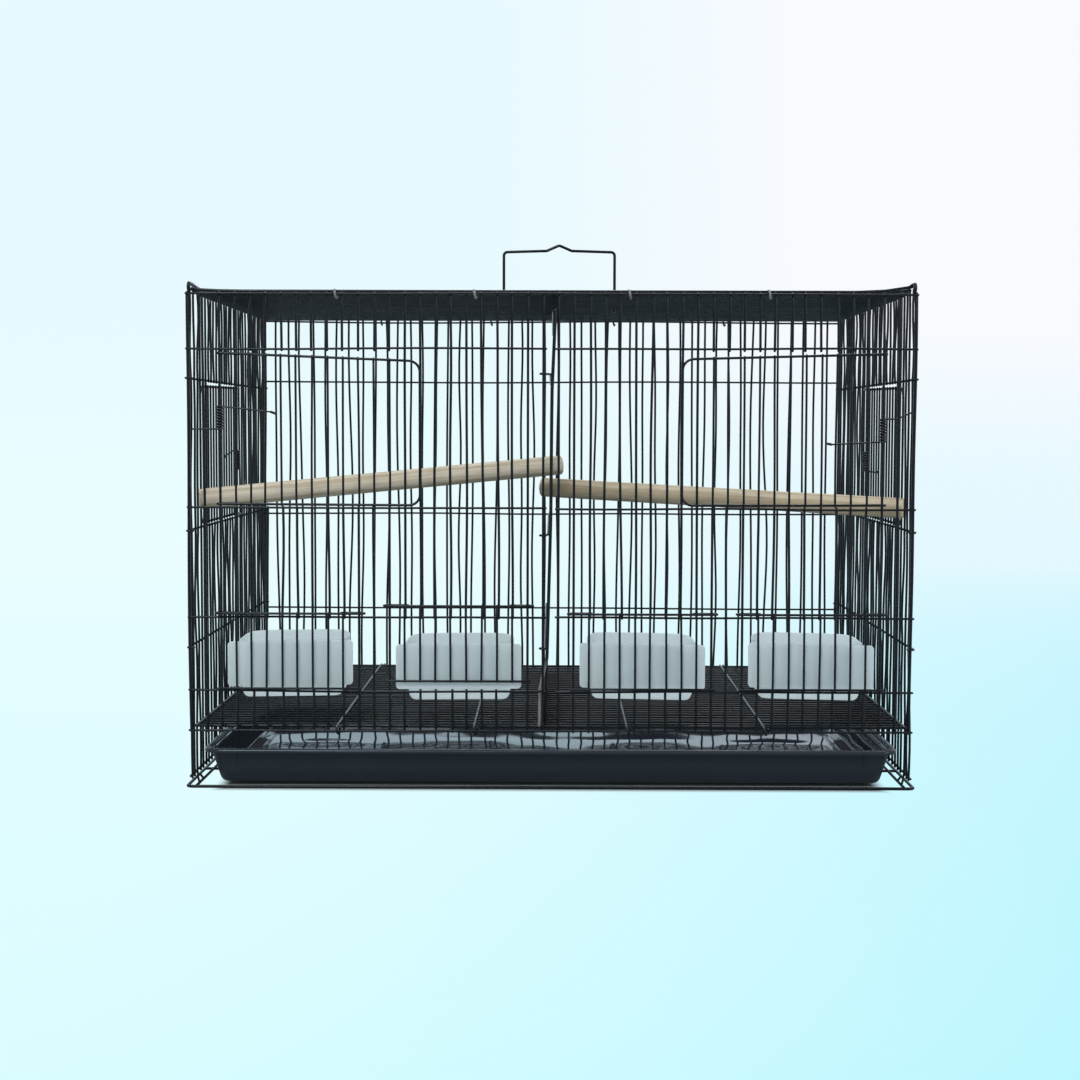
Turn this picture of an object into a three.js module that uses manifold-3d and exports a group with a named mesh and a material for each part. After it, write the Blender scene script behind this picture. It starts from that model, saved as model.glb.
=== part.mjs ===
// A folding wire cage for small birds: two compartments side by side behind one front panel,
// each with a hinged front door, a hinged nest-box door in its side, two sliding feeder doors
// with seed cups, a perch, and one pull-out tray under a wire floor. Millimetres, +Z up,
// the front faces -Y, and the origin is under the middle of the cage on the surface it stands on.
import * as THREE from 'three';
import { mergeVertices } from 'three/addons/utils/BufferGeometryUtils.js';
import Module from 'manifold-3d';

const wasm = await Module();
wasm.setup();

// Wire and clearances
const wireRadius = 1; // the grille wire is round; its solid is a four-sided bar of the same area
const wireCorner = wireRadius * Math.sqrt(Math.PI / 2); // from a bar's middle to its corner
const gap = 0.3; // clearance between pieces that touch
const weldBite = 0.3; // how deep crossing bars sink into each other at a weld
const hair = 0.05; // clearance where bars cross without a weld
const drawn = weldBite + hair; // how far a welded wire is drawn towards the rods
const land = 0.05; // flat of a border rod that shows beside the wires that butt into it
const weldStop = 0.08; // a cut wire ends this far short of its rod's middle
const rodTail = 0.4; // a rod runs on past its last wire by this much
const weldEvery = 6; // every sixth wire of a plain grille is welded to the cross rods

// Body
const pitch = 12.7; // spacing of the wires, on all sides
const frontWires = 48;
const sideWires = 32; // counts the corner wires of the front and back panels
const topLevel = 410; // top rods of the front and back panels
const floorLevel = 49; // bottom rod of the front panel, which the floor grate hooks onto
const sideTopLevel = 416;
const rimInset = 6; // end wires of the side, top and floor panels, inside the front and back
const lowLevel = 9; // bottom rods of the side and back panels
const crossPitches = [5, 14]; // cross wires of the top and floor, in pitches from the middle

// Front panel
const doorwayTop = 365;
const doorwayBottom = 234;
const doorwayFirst = 2; // wires counted from the outer edge, where the doorway starts and ends
const doorwayLast = 14;
const hatchTop = 144; // the feeder openings
const hatchBottom = 82;
const hatches = [[2, 11], [13, 22]];
const raisedHatch = 1; // counted from the left, from nothing

// Side panels
const nestTop = 341;
const nestBottom = 215;
const nestFirst = 6; // wires counted from the front
const nestLast = 18;
const sideLow = 118;
const curlReach = 3; // the top rods run past the front plane and turn down there
const curlDrop = 2.5;
const curlEnd = 7;

// Back panel
const backRodHigh = 348;
const backRodMiddle = 211;
const backRodLow = 112;

// Divider
const dividerTop = 396;
const dividerBottom = 54;
const dividerRodDrop = 51; // the upper cross rod, below the top
const dividerRodMiddle = 212;
const dividerRodRise = 64; // the lower cross rod, above the bottom
const dividerJog = 12; // the rods leave the divider's plane this far behind the front panel
const dividerJogEnd = 4;

// Hinged doors
const doorLap = 1; // pitches by which the free edge passes the doorway's far wire
const doorInset = 3.5; // the door's rods lie this far inside the doorway's rods
const doorCorner = 8;
const eyeLeg = 12; // straight end of each hinge eye, behind the panel

// Door springs
const springRadius = 2.75;
const springWire = 0.5;
const springTurns = 8;
const springSteps = 8; // steps in one turn
const springSides = 4;
const springPitch = 2.6;
const springLongArm = 46;
const springShortArm = 22;
const leftSpringLevel = 310.5; // middle of each front door's spring
const rightSpringLevel = 302;
const nestSpringLevel = 269.5;

// Feeder doors
const hatchBarLevel = 84.5;
const hatchLoopShift = 1; // the loop's middle lies this far outside its guide wire
const hatchLoopLeg = 16;
const hatchBarLap = 2; // the bottom bar laps each guide wire by this much
const hatchRaised = 6.5; // the second feeder door is pushed up by this much

// Seed cups
const cupFlangeWidth = 104;
const cupWidth = 85;
const cupDepth = 50;
const cupTop = 121;
const cupBottom = 73;
const cupWall = 1.6;
const cupFlange = 2;
const cupRadius = 12;
const cupDraft = 3;
const cupArch = 3; // the back wall rises by this much in the middle
const cupSetback = 1.6; // front of the bowl behind the panel's wires
const archSteps = 6;

// Perches
const perchRadius = 8.6;
const perchSides = 14;
const perchProud = 2.3; // outer end past the middle of the side panel's wire
const perchPoke = 9; // inner end past the middle of the divider's wire
const perchOuterWire = 4; // of the side panels
const leftPerchInnerWire = 11; // of the divider
const rightPerchInnerWire = 13;
const leftPerchOuterLevel = 241;
const leftPerchInnerLevel = 265;
const rightPerchOuterLevel = 231;
const rightPerchInnerLevel = 241;

// Base frame
const railHalf = 1.4; // half the side of the ground rails
const footProud = 4; // the outer side rails stand this far outside the side wires
const runnerShare = 0.6; // the tray's runners, as a share of the half depth

// Tray
const trayRimHalf = 287.5;
const trayRimLevel = 33;
const trayLip = 5;
const trayLipFall = 4;
const trayDraft = 9.5;
const trayWall = 1.6;
const trayFrontProud = 1.5;
const trayRearRoom = 3;
const trayRadius = 16;
const trayStep = 14; // width of the channel round the raised floor
const trayRise = 2;
const ringSteps = 3; // facets in each rounded corner

// Handle
const handleRadius = 1.25;
const handleWire = 15; // the cross wire of the top that it turns on
const handleWidth = 102;
const handleShift = 7; // middle of the handle, to the right of the cage's middle
const handleLevel = 463.5;
const handlePeak = 6;
const handlePeakHalf = 12;
const handleCornerCut = 3;

// Derived places
const halfWidth = (frontWires - 1) * pitch / 2;
const halfDepth = (sideWires - 1) * pitch / 2;
const heldOffset = 2 * wireCorner - weldBite; // rods stand this far outside the welded wires
const wireHook = 2 * wireCorner + gap; // radius of a hook round a wire
const borderHalf = wireCorner + drawn / 2 + land;
const borderHook = borderHalf * Math.SQRT2 + wireCorner + gap; // radius of a hook round a border rod
const sideSet = wireHook - heldOffset; // the side wires stand this far outside the corner wires
const frameHalf = wireCorner + land;
const hatchPlane = heldOffset + wireCorner + gap + frameHalf;
const hatchBack = wireCorner + gap + frameHalf;
const handleCorner = handleRadius * Math.sqrt(Math.PI / 2);
const handleHook = wireCorner + handleCorner + gap;
const topPlane = topLevel + borderHook - heldOffset;
const floorPlane = floorLevel + borderHook - heldOffset;
const edgeRod = halfWidth + sideSet - drawn - wireCorner - gap - borderHalf;
const backFloorRod = floorLevel + borderHook - wireHook;
const backRods = [backRodHigh, backRodMiddle, backRodLow, backFloorRod];
const dividerRods = [dividerTop - dividerRodDrop, dividerRodMiddle, dividerBottom + dividerRodRise];
const sidePlane = halfWidth + sideSet;
const footReach = sidePlane + footProud;

const frontX = (index) => (index - (frontWires - 1) / 2) * pitch;
const depthY = (index) => index * pitch - halfDepth;

const blackWire = new THREE.MeshStandardMaterial({ color: 0x1b1d1f, roughness: 0.42, metalness: 0.35 });
const springSteel = new THREE.MeshStandardMaterial({ color: 0x303336, roughness: 0.35, metalness: 0.8 });
const trayPlastic = new THREE.MeshStandardMaterial({ color: 0x262d33, roughness: 0.2, metalness: 0 });
const cupPlastic = new THREE.MeshStandardMaterial({ color: 0xb9c8cc, roughness: 0.45, metalness: 0 });
const paleWood = new THREE.MeshStandardMaterial({ color: 0xcdb98f, roughness: 0.75, metalness: 0 });

// Solids

function geometryOf(points, faces) {
  const geometry = new THREE.BufferGeometry();
  geometry.setAttribute('position', new THREE.Float32BufferAttribute(points.flatMap((p) => p.toArray()), 3));
  geometry.setIndex(faces.flat());
  return geometry;
}

function solidOf(geometry) {
  const bare = geometry.clone();
  bare.deleteAttribute('normal');
  bare.deleteAttribute('uv');
  const merged = mergeVertices(bare);
  return new wasm.Manifold(new wasm.Mesh({
    numProp: 3,
    vertProperties: new Float32Array(merged.attributes.position.array),
    triVerts: new Uint32Array(merged.index.array),
  }));
}

function joined(geometries) {
  return wasm.Manifold.union(geometries.map(solidOf));
}

function geometryFrom(solid) {
  const mesh = solid.getMesh();
  const geometry = new THREE.BufferGeometry();
  geometry.setAttribute('position', new THREE.BufferAttribute(mesh.vertProperties, mesh.numProp));
  geometry.setIndex(new THREE.BufferAttribute(mesh.triVerts, 1));
  geometry.computeVertexNormals();
  return geometry;
}

// Stacks rings of equal point counts into a closed solid: each ring runs anticlockwise seen
// against the direction of the stack.
function loft(rings) {
  const count = rings[0].length;
  const faces = [];
  for (let ring = 0; ring + 1 < rings.length; ring += 1) {
    for (let k = 0; k < count; k += 1) {
      const a = ring * count + k;
      const b = ring * count + (k + 1) % count;
      faces.push([a, b, b + count], [a, b + count, a + count]);
    }
  }
  const last = (rings.length - 1) * count;
  for (let k = 1; k + 1 < count; k += 1) {
    faces.push([0, k + 1, k], [last, last + k, last + k + 1]);
  }
  return geometryOf(rings.flat(), faces);
}

// Sweeps a section along a path of straight runs with mitred bends. The section's first
// coordinate points along `up`, and its second is square to it and to the path.
function sweep(path, section, up) {
  const runs = path.slice(1).map((point, k) => point.clone().sub(path[k]).normalize());
  const first = up.clone().addScaledVector(runs[0], -up.dot(runs[0])).normalize();
  const second = new THREE.Vector3().crossVectors(runs[0], first);
  let offsets = section.map(([a, b]) => first.clone().multiplyScalar(a).addScaledVector(second, b));
  const rings = path.map((point, k) => {
    if (k > 0 && k < runs.length) {
      const middle = runs[k - 1].clone().add(runs[k]).normalize();
      const slope = runs[k - 1].dot(middle);
      offsets = offsets.map((o) => o.clone().addScaledVector(runs[k - 1], -o.dot(middle) / slope));
    }
    const ring = offsets.map((o) => point.clone().add(o));
    if (k > 0 && k < runs.length) {
      offsets = offsets.map((o) => o.clone().addScaledVector(runs[k], -o.dot(runs[k])));
    }
    return ring;
  });
  return loft(rings);
}

const diamond = (corner) => [[corner, 0], [0, corner], [-corner, 0], [0, -corner]];
const square = (half) => [[half, -half], [half, half], [-half, half], [-half, -half]];
const polygon = (sides, radius) => Array.from({ length: sides }, (_, k) => {
  const turn = 2 * Math.PI * k / sides;
  return [radius * Math.cos(turn), radius * Math.sin(turn)];
});
const at = (x, y, z) => new THREE.Vector3(x, y, z);
const alongX = at(1, 0, 0);
const alongY = at(0, 1, 0);
const alongZ = at(0, 0, 1);

const upright = (x, y, low, high) => sweep([at(x, y, low), at(x, y, high)], diamond(wireCorner), alongY);
const crossRod = (y, z, left, right) => sweep([at(left, y, z), at(right, y, z)], diamond(wireCorner), alongZ);
const borderRod = (y, z, left, right) => sweep([at(left, y, z), at(right, y, z)], square(borderHalf), alongZ);

// The bends of a hook round a rod: eighth turns whose straight sides touch a circle of `radius`
// round `centre`. The hook starts where it touches at angle `start` and ends `eighths` later;
// `spin` is +1 anticlockwise and -1 clockwise. `lift` turns the flat points into places.
function hookPoints(centre, radius, start, spin, eighths, lift) {
  const half = Math.PI / 8;
  const points = [];
  for (let k = 0; k < eighths; k += 1) {
    const angle = start + spin * half * (2 * k + 1);
    const reach = radius / Math.cos(half);
    points.push(lift(centre[0] + reach * Math.cos(angle), centre[1] + reach * Math.sin(angle)));
  }
  const last = start + spin * 2 * half * eighths;
  points.push(lift(centre[0] + radius * Math.cos(last), centre[1] + radius * Math.sin(last)));
  return points;
}

// Cuts the span of a wire wherever an opening interrupts it. Each opening is
// { first, last, low, high } with wire indices and heights.
function wirePieces(index, low, high, openings) {
  let pieces = [[low, high]];
  for (const opening of openings) {
    if (index > opening.first && index < opening.last) {
      pieces = pieces.flatMap(([from, to]) => (opening.low > from && opening.high < to
        ? [[from, opening.low - weldStop], [opening.high + weldStop, to]]
        : [[from, to]]));
    }
  }
  return pieces;
}

// Front and back panels: local frame with the wires in the plane y = 0 and the rods outside, at -y

function mirrored(first, last) {
  return [[first, last], [frontWires - 1 - last, frontWires - 1 - first]];
}

const doorways = mirrored(doorwayFirst, doorwayLast)
  .map(([first, last]) => ({ first, last, low: doorwayBottom, high: doorwayTop }));
const feederHatches = hatches.flatMap(([first, last]) => mirrored(first, last))
  .map(([first, last]) => ({ first, last, low: hatchBottom, high: hatchTop }))
  .sort((a, b) => a.first - b.first);

function frontPanel() {
  const shapes = [];
  for (let index = 0; index < frontWires; index += 1) {
    for (const [low, high] of wirePieces(index, floorLevel, topLevel, [...feederHatches, ...doorways])) {
      shapes.push(upright(frontX(index), 0, low, high));
    }
  }
  const reach = halfWidth + wireCorner + land;
  shapes.push(borderRod(drawn / 2, topLevel, -reach, reach));
  shapes.push(borderRod(drawn / 2, floorLevel, -reach, reach));
  const outer = halfWidth + wireCorner + rodTail;
  const inner = pitch / 2 - wireCorner - rodTail;
  for (const level of [doorwayTop, doorwayBottom, hatchTop, hatchBottom]) {
    shapes.push(crossRod(-heldOffset, level, -outer, -inner));
    shapes.push(crossRod(-heldOffset, level, inner, outer));
  }
  return joined(shapes);
}

// A wire is held when it is welded to the cross rods; the others stand a hair clear of them.
const isHeld = (index, count) => index === 0 || index === count - 1 || index % weldEvery === 0;
const wirePlane = (held) => (held ? 0 : drawn);
const handlePivot = topPlane - wirePlane(isHeld(handleWire, sideWires));
const sideHeld = (index) => (index >= nestFirst && index <= nestLast) || isHeld(index, sideWires);
const dividerHeld = (index) => index > 0 && isHeld(index, sideWires - 1);

function backPanel() {
  const shapes = [];
  for (let index = 0; index < frontWires; index += 1) {
    shapes.push(upright(frontX(index), wirePlane(isHeld(index, frontWires)), lowLevel, topLevel));
  }
  const reach = halfWidth + wireCorner + land;
  shapes.push(borderRod(drawn / 2, topLevel, -reach, reach));
  shapes.push(borderRod(drawn / 2, lowLevel, -reach, reach));
  const outer = halfWidth + wireCorner + rodTail;
  for (const level of backRods) {
    shapes.push(crossRod(-heldOffset, level, -outer, outer));
  }
  return joined(shapes);
}

// Side panels: local frame as above, with x running towards the front for the left panel
// (hand +1) and towards the back for the right one (hand -1)

const rimPlaces = [rimInset - halfDepth, halfDepth - rimInset];
const nestDoorway = { first: nestFirst, last: nestLast, low: nestBottom, high: nestTop };

function sidePanel(hand) {
  const shapes = [];
  for (let index = 1; index < sideWires - 1; index += 1) {
    for (const [low, high] of wirePieces(index, lowLevel, sideTopLevel, [nestDoorway])) {
      shapes.push(upright(-hand * depthY(index), wirePlane(sideHeld(index)), low, high));
    }
  }
  for (const place of rimPlaces) shapes.push(upright(place, 0, lowLevel, sideTopLevel));
  const reach = halfDepth - rimInset + wireCorner + land;
  shapes.push(borderRod(drawn / 2, lowLevel, -reach, reach));
  const curl = [
    [-halfDepth, sideTopLevel],
    [halfDepth + curlReach, sideTopLevel],
    [halfDepth + curlReach + curlDrop, sideTopLevel - curlDrop],
    [halfDepth + curlReach + curlDrop, sideTopLevel - curlEnd],
  ].map(([x, z]) => at(hand * x, drawn / 2, z));
  shapes.push(sweep(curl, square(borderHalf), alongY));
  for (const level of [nestTop, nestBottom, sideLow]) {
    const end = (side) => hookPoints([side * halfDepth, sideSet], wireHook, -Math.PI / 2, side, 5, (x, y) => at(x, y, level));
    shapes.push(sweep([...end(-1).reverse(), ...end(1)], diamond(wireCorner), alongZ));
  }
  return joined(shapes);
}

// Top panel and floor grate: local frame with x towards the back of the cage, the many wires
// along z, and the cross wires outside, at -y, hooked round the rods in front and behind

const crossPlaces = crossPitches.flatMap((count) => [-count * pitch, count * pitch]);

function flatGrille(frontHook, backHook) {
  const shapes = [];
  for (let index = 1; index < sideWires - 1; index += 1) {
    shapes.push(upright(depthY(index), wirePlane(isHeld(index, sideWires)), -edgeRod, edgeRod));
  }
  for (const place of rimPlaces) shapes.push(upright(place, 0, -edgeRod, edgeRod));
  const reach = halfDepth - drawn / 2 - borderHalf - gap;
  shapes.push(borderRod(drawn / 2, -edgeRod, -reach, reach));
  shapes.push(borderRod(drawn / 2, edgeRod, -reach, reach));
  for (const place of crossPlaces) {
    const lift = (x, y) => at(x, y, place);
    const front = hookPoints(frontHook.centre, frontHook.radius, -Math.PI / 2, -1, 5, lift);
    const back = hookPoints(backHook.centre, backHook.radius, -Math.PI / 2, 1, 5, lift);
    shapes.push(sweep([...front.reverse(), ...back], diamond(wireCorner), alongZ));
  }
  return joined(shapes);
}

const frontBorderHook = { centre: [-halfDepth + drawn / 2, borderHook - heldOffset], radius: borderHook };
const backBorderHook = { centre: [halfDepth - drawn / 2, borderHook - heldOffset], radius: borderHook };
const backRodHook = { centre: [halfDepth + heldOffset, wireHook - heldOffset], radius: wireHook };

// Divider: local frame with x towards the front of the cage, its rods on the left at -y, hooked
// round the front panel's wire beside the slot

function divider() {
  const shapes = [];
  const last = sideWires - 2;
  for (let index = 0; index <= last; index += 1) {
    shapes.push(upright(-depthY(index), wirePlane(dividerHeld(index)), dividerBottom, dividerTop));
  }
  const reach = wireCorner + land;
  for (const level of [dividerTop, dividerBottom]) {
    shapes.push(borderRod(drawn / 2, level, -depthY(last) - reach, -depthY(0) + reach));
  }
  for (const level of dividerRods) {
    const path = [
      at(-depthY(last) - wireCorner - rodTail, -heldOffset, level),
      at(halfDepth - dividerJog, -heldOffset, level),
      at(halfDepth - dividerJogEnd, wireHook - pitch / 2, level),
      ...hookPoints([halfDepth, -pitch / 2], wireHook, Math.PI / 2, -1, 5, (x, y) => at(x, y, level)),
    ];
    shapes.push(sweep(path, diamond(wireCorner), alongZ));
  }
  return joined(shapes);
}

// Hinged door: local frame with the hinge wire along z at the origin, the panel's wires in the
// plane y = 0, and the door reaching towards +x. `height` is between the doorway's rods, and
// `wires` is the doorway's width in pitches.

function hingedDoor(height, wires) {
  const half = height / 2 - doorInset;
  const free = (wires + doorLap) * pitch;
  const cut = doorCorner * (1 - Math.SQRT1_2);
  const eye = (z) => {
    const bends = hookPoints([0, 0], wireHook, Math.PI / 2, 1, 4, (x, y) => at(x, y, z));
    return [at(eyeLeg, wireHook, z), ...bends.slice(0, -1)];
  };
  const corner = (z, side) => [
    at(free - doorCorner, -wireHook, z),
    at(free - cut, -wireHook, z - side * cut),
    at(free, -wireHook, z - side * doorCorner),
  ];
  const path = [...eye(half), ...corner(half, 1), ...corner(-half, -1).reverse(), ...eye(-half).reverse()];
  const shapes = [sweep(path, diamond(wireCorner), alongZ)];
  for (let index = 1; index < wires; index += 1) {
    shapes.push(upright(index * pitch, heldOffset - wireHook, weldStop - half, half - weldStop));
  }
  return joined(shapes);
}

// Torsion spring round a hinge wire: the coil rises anticlockwise, its lower arm reaching
// towards -x and its upper arm towards +x, both in front of the wires
function springPath() {
  const steps = springTurns * springSteps;
  const rise = springTurns * springPitch;
  const points = [at(-springShortArm, -springRadius, -rise / 2)];
  for (let step = 0; step <= steps; step += 1) {
    const angle = 2 * Math.PI * step / springSteps - Math.PI / 2;
    const z = rise * (step / steps - 1 / 2);
    points.push(at(springRadius * Math.cos(angle), springRadius * Math.sin(angle), z));
  }
  points.push(at(springLongArm, -springRadius, rise / 2));
  return points;
}

const springCorner = springWire * Math.sqrt(2 * Math.PI / springSides / Math.sin(2 * Math.PI / springSides));

// The least clear distance between the spring's turns, measured between points a turn apart
function springSelfGap(path) {
  let least = Infinity;
  for (let a = 1; a + 1 < path.length; a += 1) {
    for (let b = a + springSteps / 2; b + 1 < path.length; b += 1) {
      least = Math.min(least, path[a].distanceTo(path[b]));
    }
  }
  return least - 2 * springCorner;
}

function doorSpring() {
  const path = springPath();
  console.log(`door spring: least gap to itself ${springSelfGap(path).toFixed(2)} mm`);
  return solidOf(sweep(path, polygon(springSides, springCorner), alongZ));
}

// Feeder door: local frame with x from the middle of its opening, the panel's wires at y = 0,
// and z as on the cage. Its top rod loops round the two guide wires and hangs on the rod below.
function feederDoor() {
  const [first, last] = hatches[0];
  const guide = (last - first) * pitch / 2;
  const level = hatchTop + wireCorner + gap + frameHalf;
  const radius = (hatchPlane + hatchBack) / 2;
  const middle = (hatchBack - hatchPlane) / 2;
  const loop = (side) => [
    at(side * (guide + hatchLoopShift - hatchLoopLeg), hatchBack, level),
    ...hookPoints([side * (guide + hatchLoopShift), middle], radius, Math.PI / 2, -side, 4, (x, y) => at(x, y, level))
      .slice(0, -1),
  ];
  const shapes = [sweep([...loop(-1), ...loop(1).reverse()], square(frameHalf), alongZ)];
  const end = guide + hatchBarLap;
  shapes.push(sweep([at(-end, -hatchPlane, hatchBarLevel), at(end, -hatchPlane, hatchBarLevel)],
    square(frameHalf), alongZ));
  for (let index = 1; index < last - first; index += 1) {
    shapes.push(upright(index * pitch - guide, -hatchPlane, hatchBarLevel, level));
  }
  return joined(shapes);
}

// A level ring with rounded corners, anticlockwise seen from above
function roundedRing(halfX, halfY, middleY, radius, z) {
  const points = [];
  const quarters = [[1, -1], [1, 1], [-1, 1], [-1, -1]];
  quarters.forEach(([signX, signY], quarter) => {
    for (let step = 0; step <= ringSteps; step += 1) {
      const angle = (quarter - 1 + step / ringSteps) * Math.PI / 2;
      const x = signX * (halfX - radius) + radius * Math.cos(angle);
      const y = middleY + signY * (halfY - radius) + radius * Math.sin(angle);
      points.push(at(x, y, z));
    }
  });
  return points;
}

// Seed cup: local frame as for the feeder door
function seedCup() {
  const middleY = wireCorner + cupSetback + cupDepth / 2;
  const ring = (inset, z) => roundedRing(cupWidth / 2 - inset, cupDepth / 2 - inset, middleY, cupRadius - inset, z);
  const bowl = loft([
    ring(cupDraft, cupBottom),
    ring(0, cupTop),
    ring(cupWall, cupTop),
    ring(cupDraft + cupWall, cupBottom + cupWall),
  ]);
  const front = -heldOffset + wireCorner / 2;
  const seat = hatchBottom + wireCorner + gap;
  const plate = new THREE.BoxGeometry(cupFlangeWidth, cupFlange, cupTop - seat);
  plate.translate(0, front + cupFlange / 2 - wireCorner / 2, (cupTop + seat) / 2);
  const neckBack = middleY - cupDepth / 2 + cupWall;
  const neck = new THREE.BoxGeometry(cupWidth - 2 * cupRadius, neckBack - front, cupTop - seat);
  neck.translate(0, (neckBack + front) / 2, (cupTop + seat) / 2);
  const archHalf = cupWidth / 2 - cupRadius;
  const arch = new THREE.Shape([
    new THREE.Vector2(-archHalf, -cupWall),
    new THREE.Vector2(archHalf, -cupWall),
    ...Array.from({ length: archSteps + 1 }, (_, k) => {
      const angle = Math.PI * k / archSteps;
      return new THREE.Vector2(archHalf * Math.cos(angle), cupArch * Math.sin(angle));
    }),
  ]);
  const back = new THREE.ExtrudeGeometry(arch, { depth: cupWall, bevelEnabled: false });
  back.rotateX(Math.PI / 2);
  back.translate(0, middleY + cupDepth / 2, cupTop);
  return joined([bowl, plate, neck, back]);
}

// Perch: a dowel with a saw kerf in each end, straddling one wire of the side panel and one of
// the divider
function perch(side, ends) {
  const sideX = side * (sidePlane - wirePlane(sideHeld(perchOuterWire)));
  const outer = at(sideX, depthY(perchOuterWire), ends.outerLevel);
  const inner = at(wirePlane(dividerHeld(ends.innerWire)), depthY(ends.innerWire), ends.innerLevel);
  const run = outer.clone().sub(inner).normalize();
  const path = [inner.clone().addScaledVector(run, -perchPoke), outer.clone().addScaledVector(run, perchProud)];
  const dowel = solidOf(sweep(path, polygon(perchSides, perchRadius), alongZ));
  const flat = at(run.x, run.y, 0).normalize();
  const kerf = (wire, outward, reach) => {
    const height = 4 * perchRadius;
    const mouth = reach + perchRadius;
    const depth = wireCorner + gap;
    const box = new THREE.BoxGeometry(mouth + depth, 2 * depth, height);
    box.translate((mouth - depth) / 2, 0, 0);
    box.applyMatrix4(new THREE.Matrix4().makeBasis(
      flat.clone().multiplyScalar(outward),
      new THREE.Vector3().crossVectors(alongZ, flat).multiplyScalar(outward),
      alongZ,
    ));
    box.translate(wire.x, wire.y, wire.z);
    return solidOf(box);
  };
  return dowel.subtract(kerf(outer, 1, perchProud)).subtract(kerf(inner, -1, perchPoke));
}

// Base frame: flat rails on the ground under the panels, with four short posts that carry the
// side panels' bottom rods
function baseFrame() {
  const railTop = 2 * railHalf;
  const carried = sidePlane - drawn / 2;
  const innerReach = carried - railTop - gap;
  const flat = (x, y, halfX, halfY) => wasm.CrossSection.square([2 * halfX, 2 * halfY], true).translate([x, y]);
  const plan = [
    ...[-halfDepth, -runnerShare * halfDepth, runnerShare * halfDepth, halfDepth]
      .map((y) => flat(0, y, footReach + railHalf, railHalf)),
    ...[-footReach, -innerReach, innerReach, footReach]
      .map((x) => flat(x, 0, railHalf, halfDepth + railHalf)),
  ];
  const postTop = lowLevel - borderHalf - gap;
  const postWidth = carried + railHalf - innerReach;
  const posts = [-1, 1].flatMap((side) => [-1, 1].map((end) => {
    const post = wasm.Manifold.cube([postWidth, railTop, postTop - railHalf], true);
    const x = side * (innerReach + postWidth / 2);
    return post.translate([x, end * (halfDepth - 2 * pitch), (postTop + railHalf) / 2]);
  }));
  return wasm.Manifold.union([wasm.CrossSection.union(plan).extrude(railTop), ...posts]);
}

// Tray: a drafted wall with a turned-over lip and a floor raised inside a shallow channel
function tray() {
  const front = -halfDepth - trayFrontProud;
  const rear = halfDepth - trayRearRoom;
  const bottom = 2 * railHalf + gap;
  const ring = (inset, z) => {
    const radius = Math.max(trayRadius - inset, trayRadius / 4);
    return roundedRing(trayRimHalf - inset, (rear - front) / 2 - inset, (rear + front) / 2, radius, z);
  };
  const wallTop = trayLip + trayWall;
  const floorInset = wallTop + trayDraft;
  return solidOf(loft([
    ring(trayLip + trayDraft, bottom),
    ring(trayLip, trayRimLevel - trayWall),
    ring(trayWall, trayRimLevel - trayWall),
    ring(trayWall, trayRimLevel - trayLipFall),
    ring(0, trayRimLevel - trayLipFall),
    ring(0, trayRimLevel),
    ring(wallTop, trayRimLevel),
    ring(floorInset, bottom + trayWall),
    ring(floorInset + trayStep, bottom + trayWall),
    ring(floorInset + trayStep + trayRise, bottom + trayWall + trayRise),
  ]));
}

// Handle: a bail whose ends hook under one cross wire of the top. Local frame: that wire runs
// along x through the origin, and z is up.
function handle() {
  const top = handleLevel - handlePivot;
  const half = handleWidth / 2;
  const leg = (side) => [
    at(side * half, handleHook, 0),
    ...hookPoints([0, 0], handleHook, 0, -1, 4, (y, z) => at(side * half, y, z)).slice(0, -1),
    at(side * half, -handleHook, top - handleCornerCut),
    at(side * (half - handleCornerCut), -handleHook, top),
  ];
  const peak = [[-handlePeakHalf, 0], [0, handlePeak], [handlePeakHalf, 0]].map(([x, z]) => at(x, -handleHook, top + z));
  const path = [...leg(-1), ...peak, ...leg(1).reverse()];
  return solidOf(sweep(path, diamond(handleCorner), alongX));
}

// Assembly

const cage = new THREE.Group();

function node(name, solid, material, parent) {
  const mesh = new THREE.Mesh(geometryFrom(solid), material);
  mesh.name = name;
  parent.add(mesh);
  return mesh;
}

// A group that carries local x, y and z to the given directions and sits at `place`
function placed(place, x, y, z) {
  const group = new THREE.Group();
  group.quaternion.setFromRotationMatrix(new THREE.Matrix4().makeBasis(x, y, z));
  group.position.copy(place);
  cage.add(group);
  return group;
}

const left = alongX.clone().negate();
const forward = alongY.clone().negate();
const down = alongZ.clone().negate();
const frontFrame = (x, z) => placed(at(x, -halfDepth, z), alongX, alongY, alongZ);
const leftFrame = (y, z) => placed(at(-sidePlane, y, z), forward, alongX, alongZ);
const rightFrame = (y, z) => placed(at(sidePlane, y, z), alongY, left, alongZ);

node('front_panel', frontPanel(), blackWire, frontFrame(0, 0));
node('back_panel', backPanel(), blackWire, placed(at(0, halfDepth, 0), left, forward, alongZ));
node('left_side_panel', sidePanel(1), blackWire, leftFrame(0, 0));
node('right_side_panel', sidePanel(-1), blackWire, rightFrame(0, 0));
node('top_panel', flatGrille(frontBorderHook, backBorderHook), blackWire, placed(at(0, 0, topPlane), alongY, down, left));
node('floor_grate', flatGrille(frontBorderHook, backRodHook), blackWire, placed(at(0, 0, floorPlane), alongY, down, left));
node('divider', divider(), blackWire, placed(at(0, 0, 0), forward, alongX, alongZ));
node('base_frame', baseFrame(), blackWire, cage);
node('tray', tray(), trayPlastic, cage);
node('handle', handle(), blackWire, placed(at(handleShift, depthY(handleWire), handlePivot), alongX, alongY, alongZ));

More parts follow.
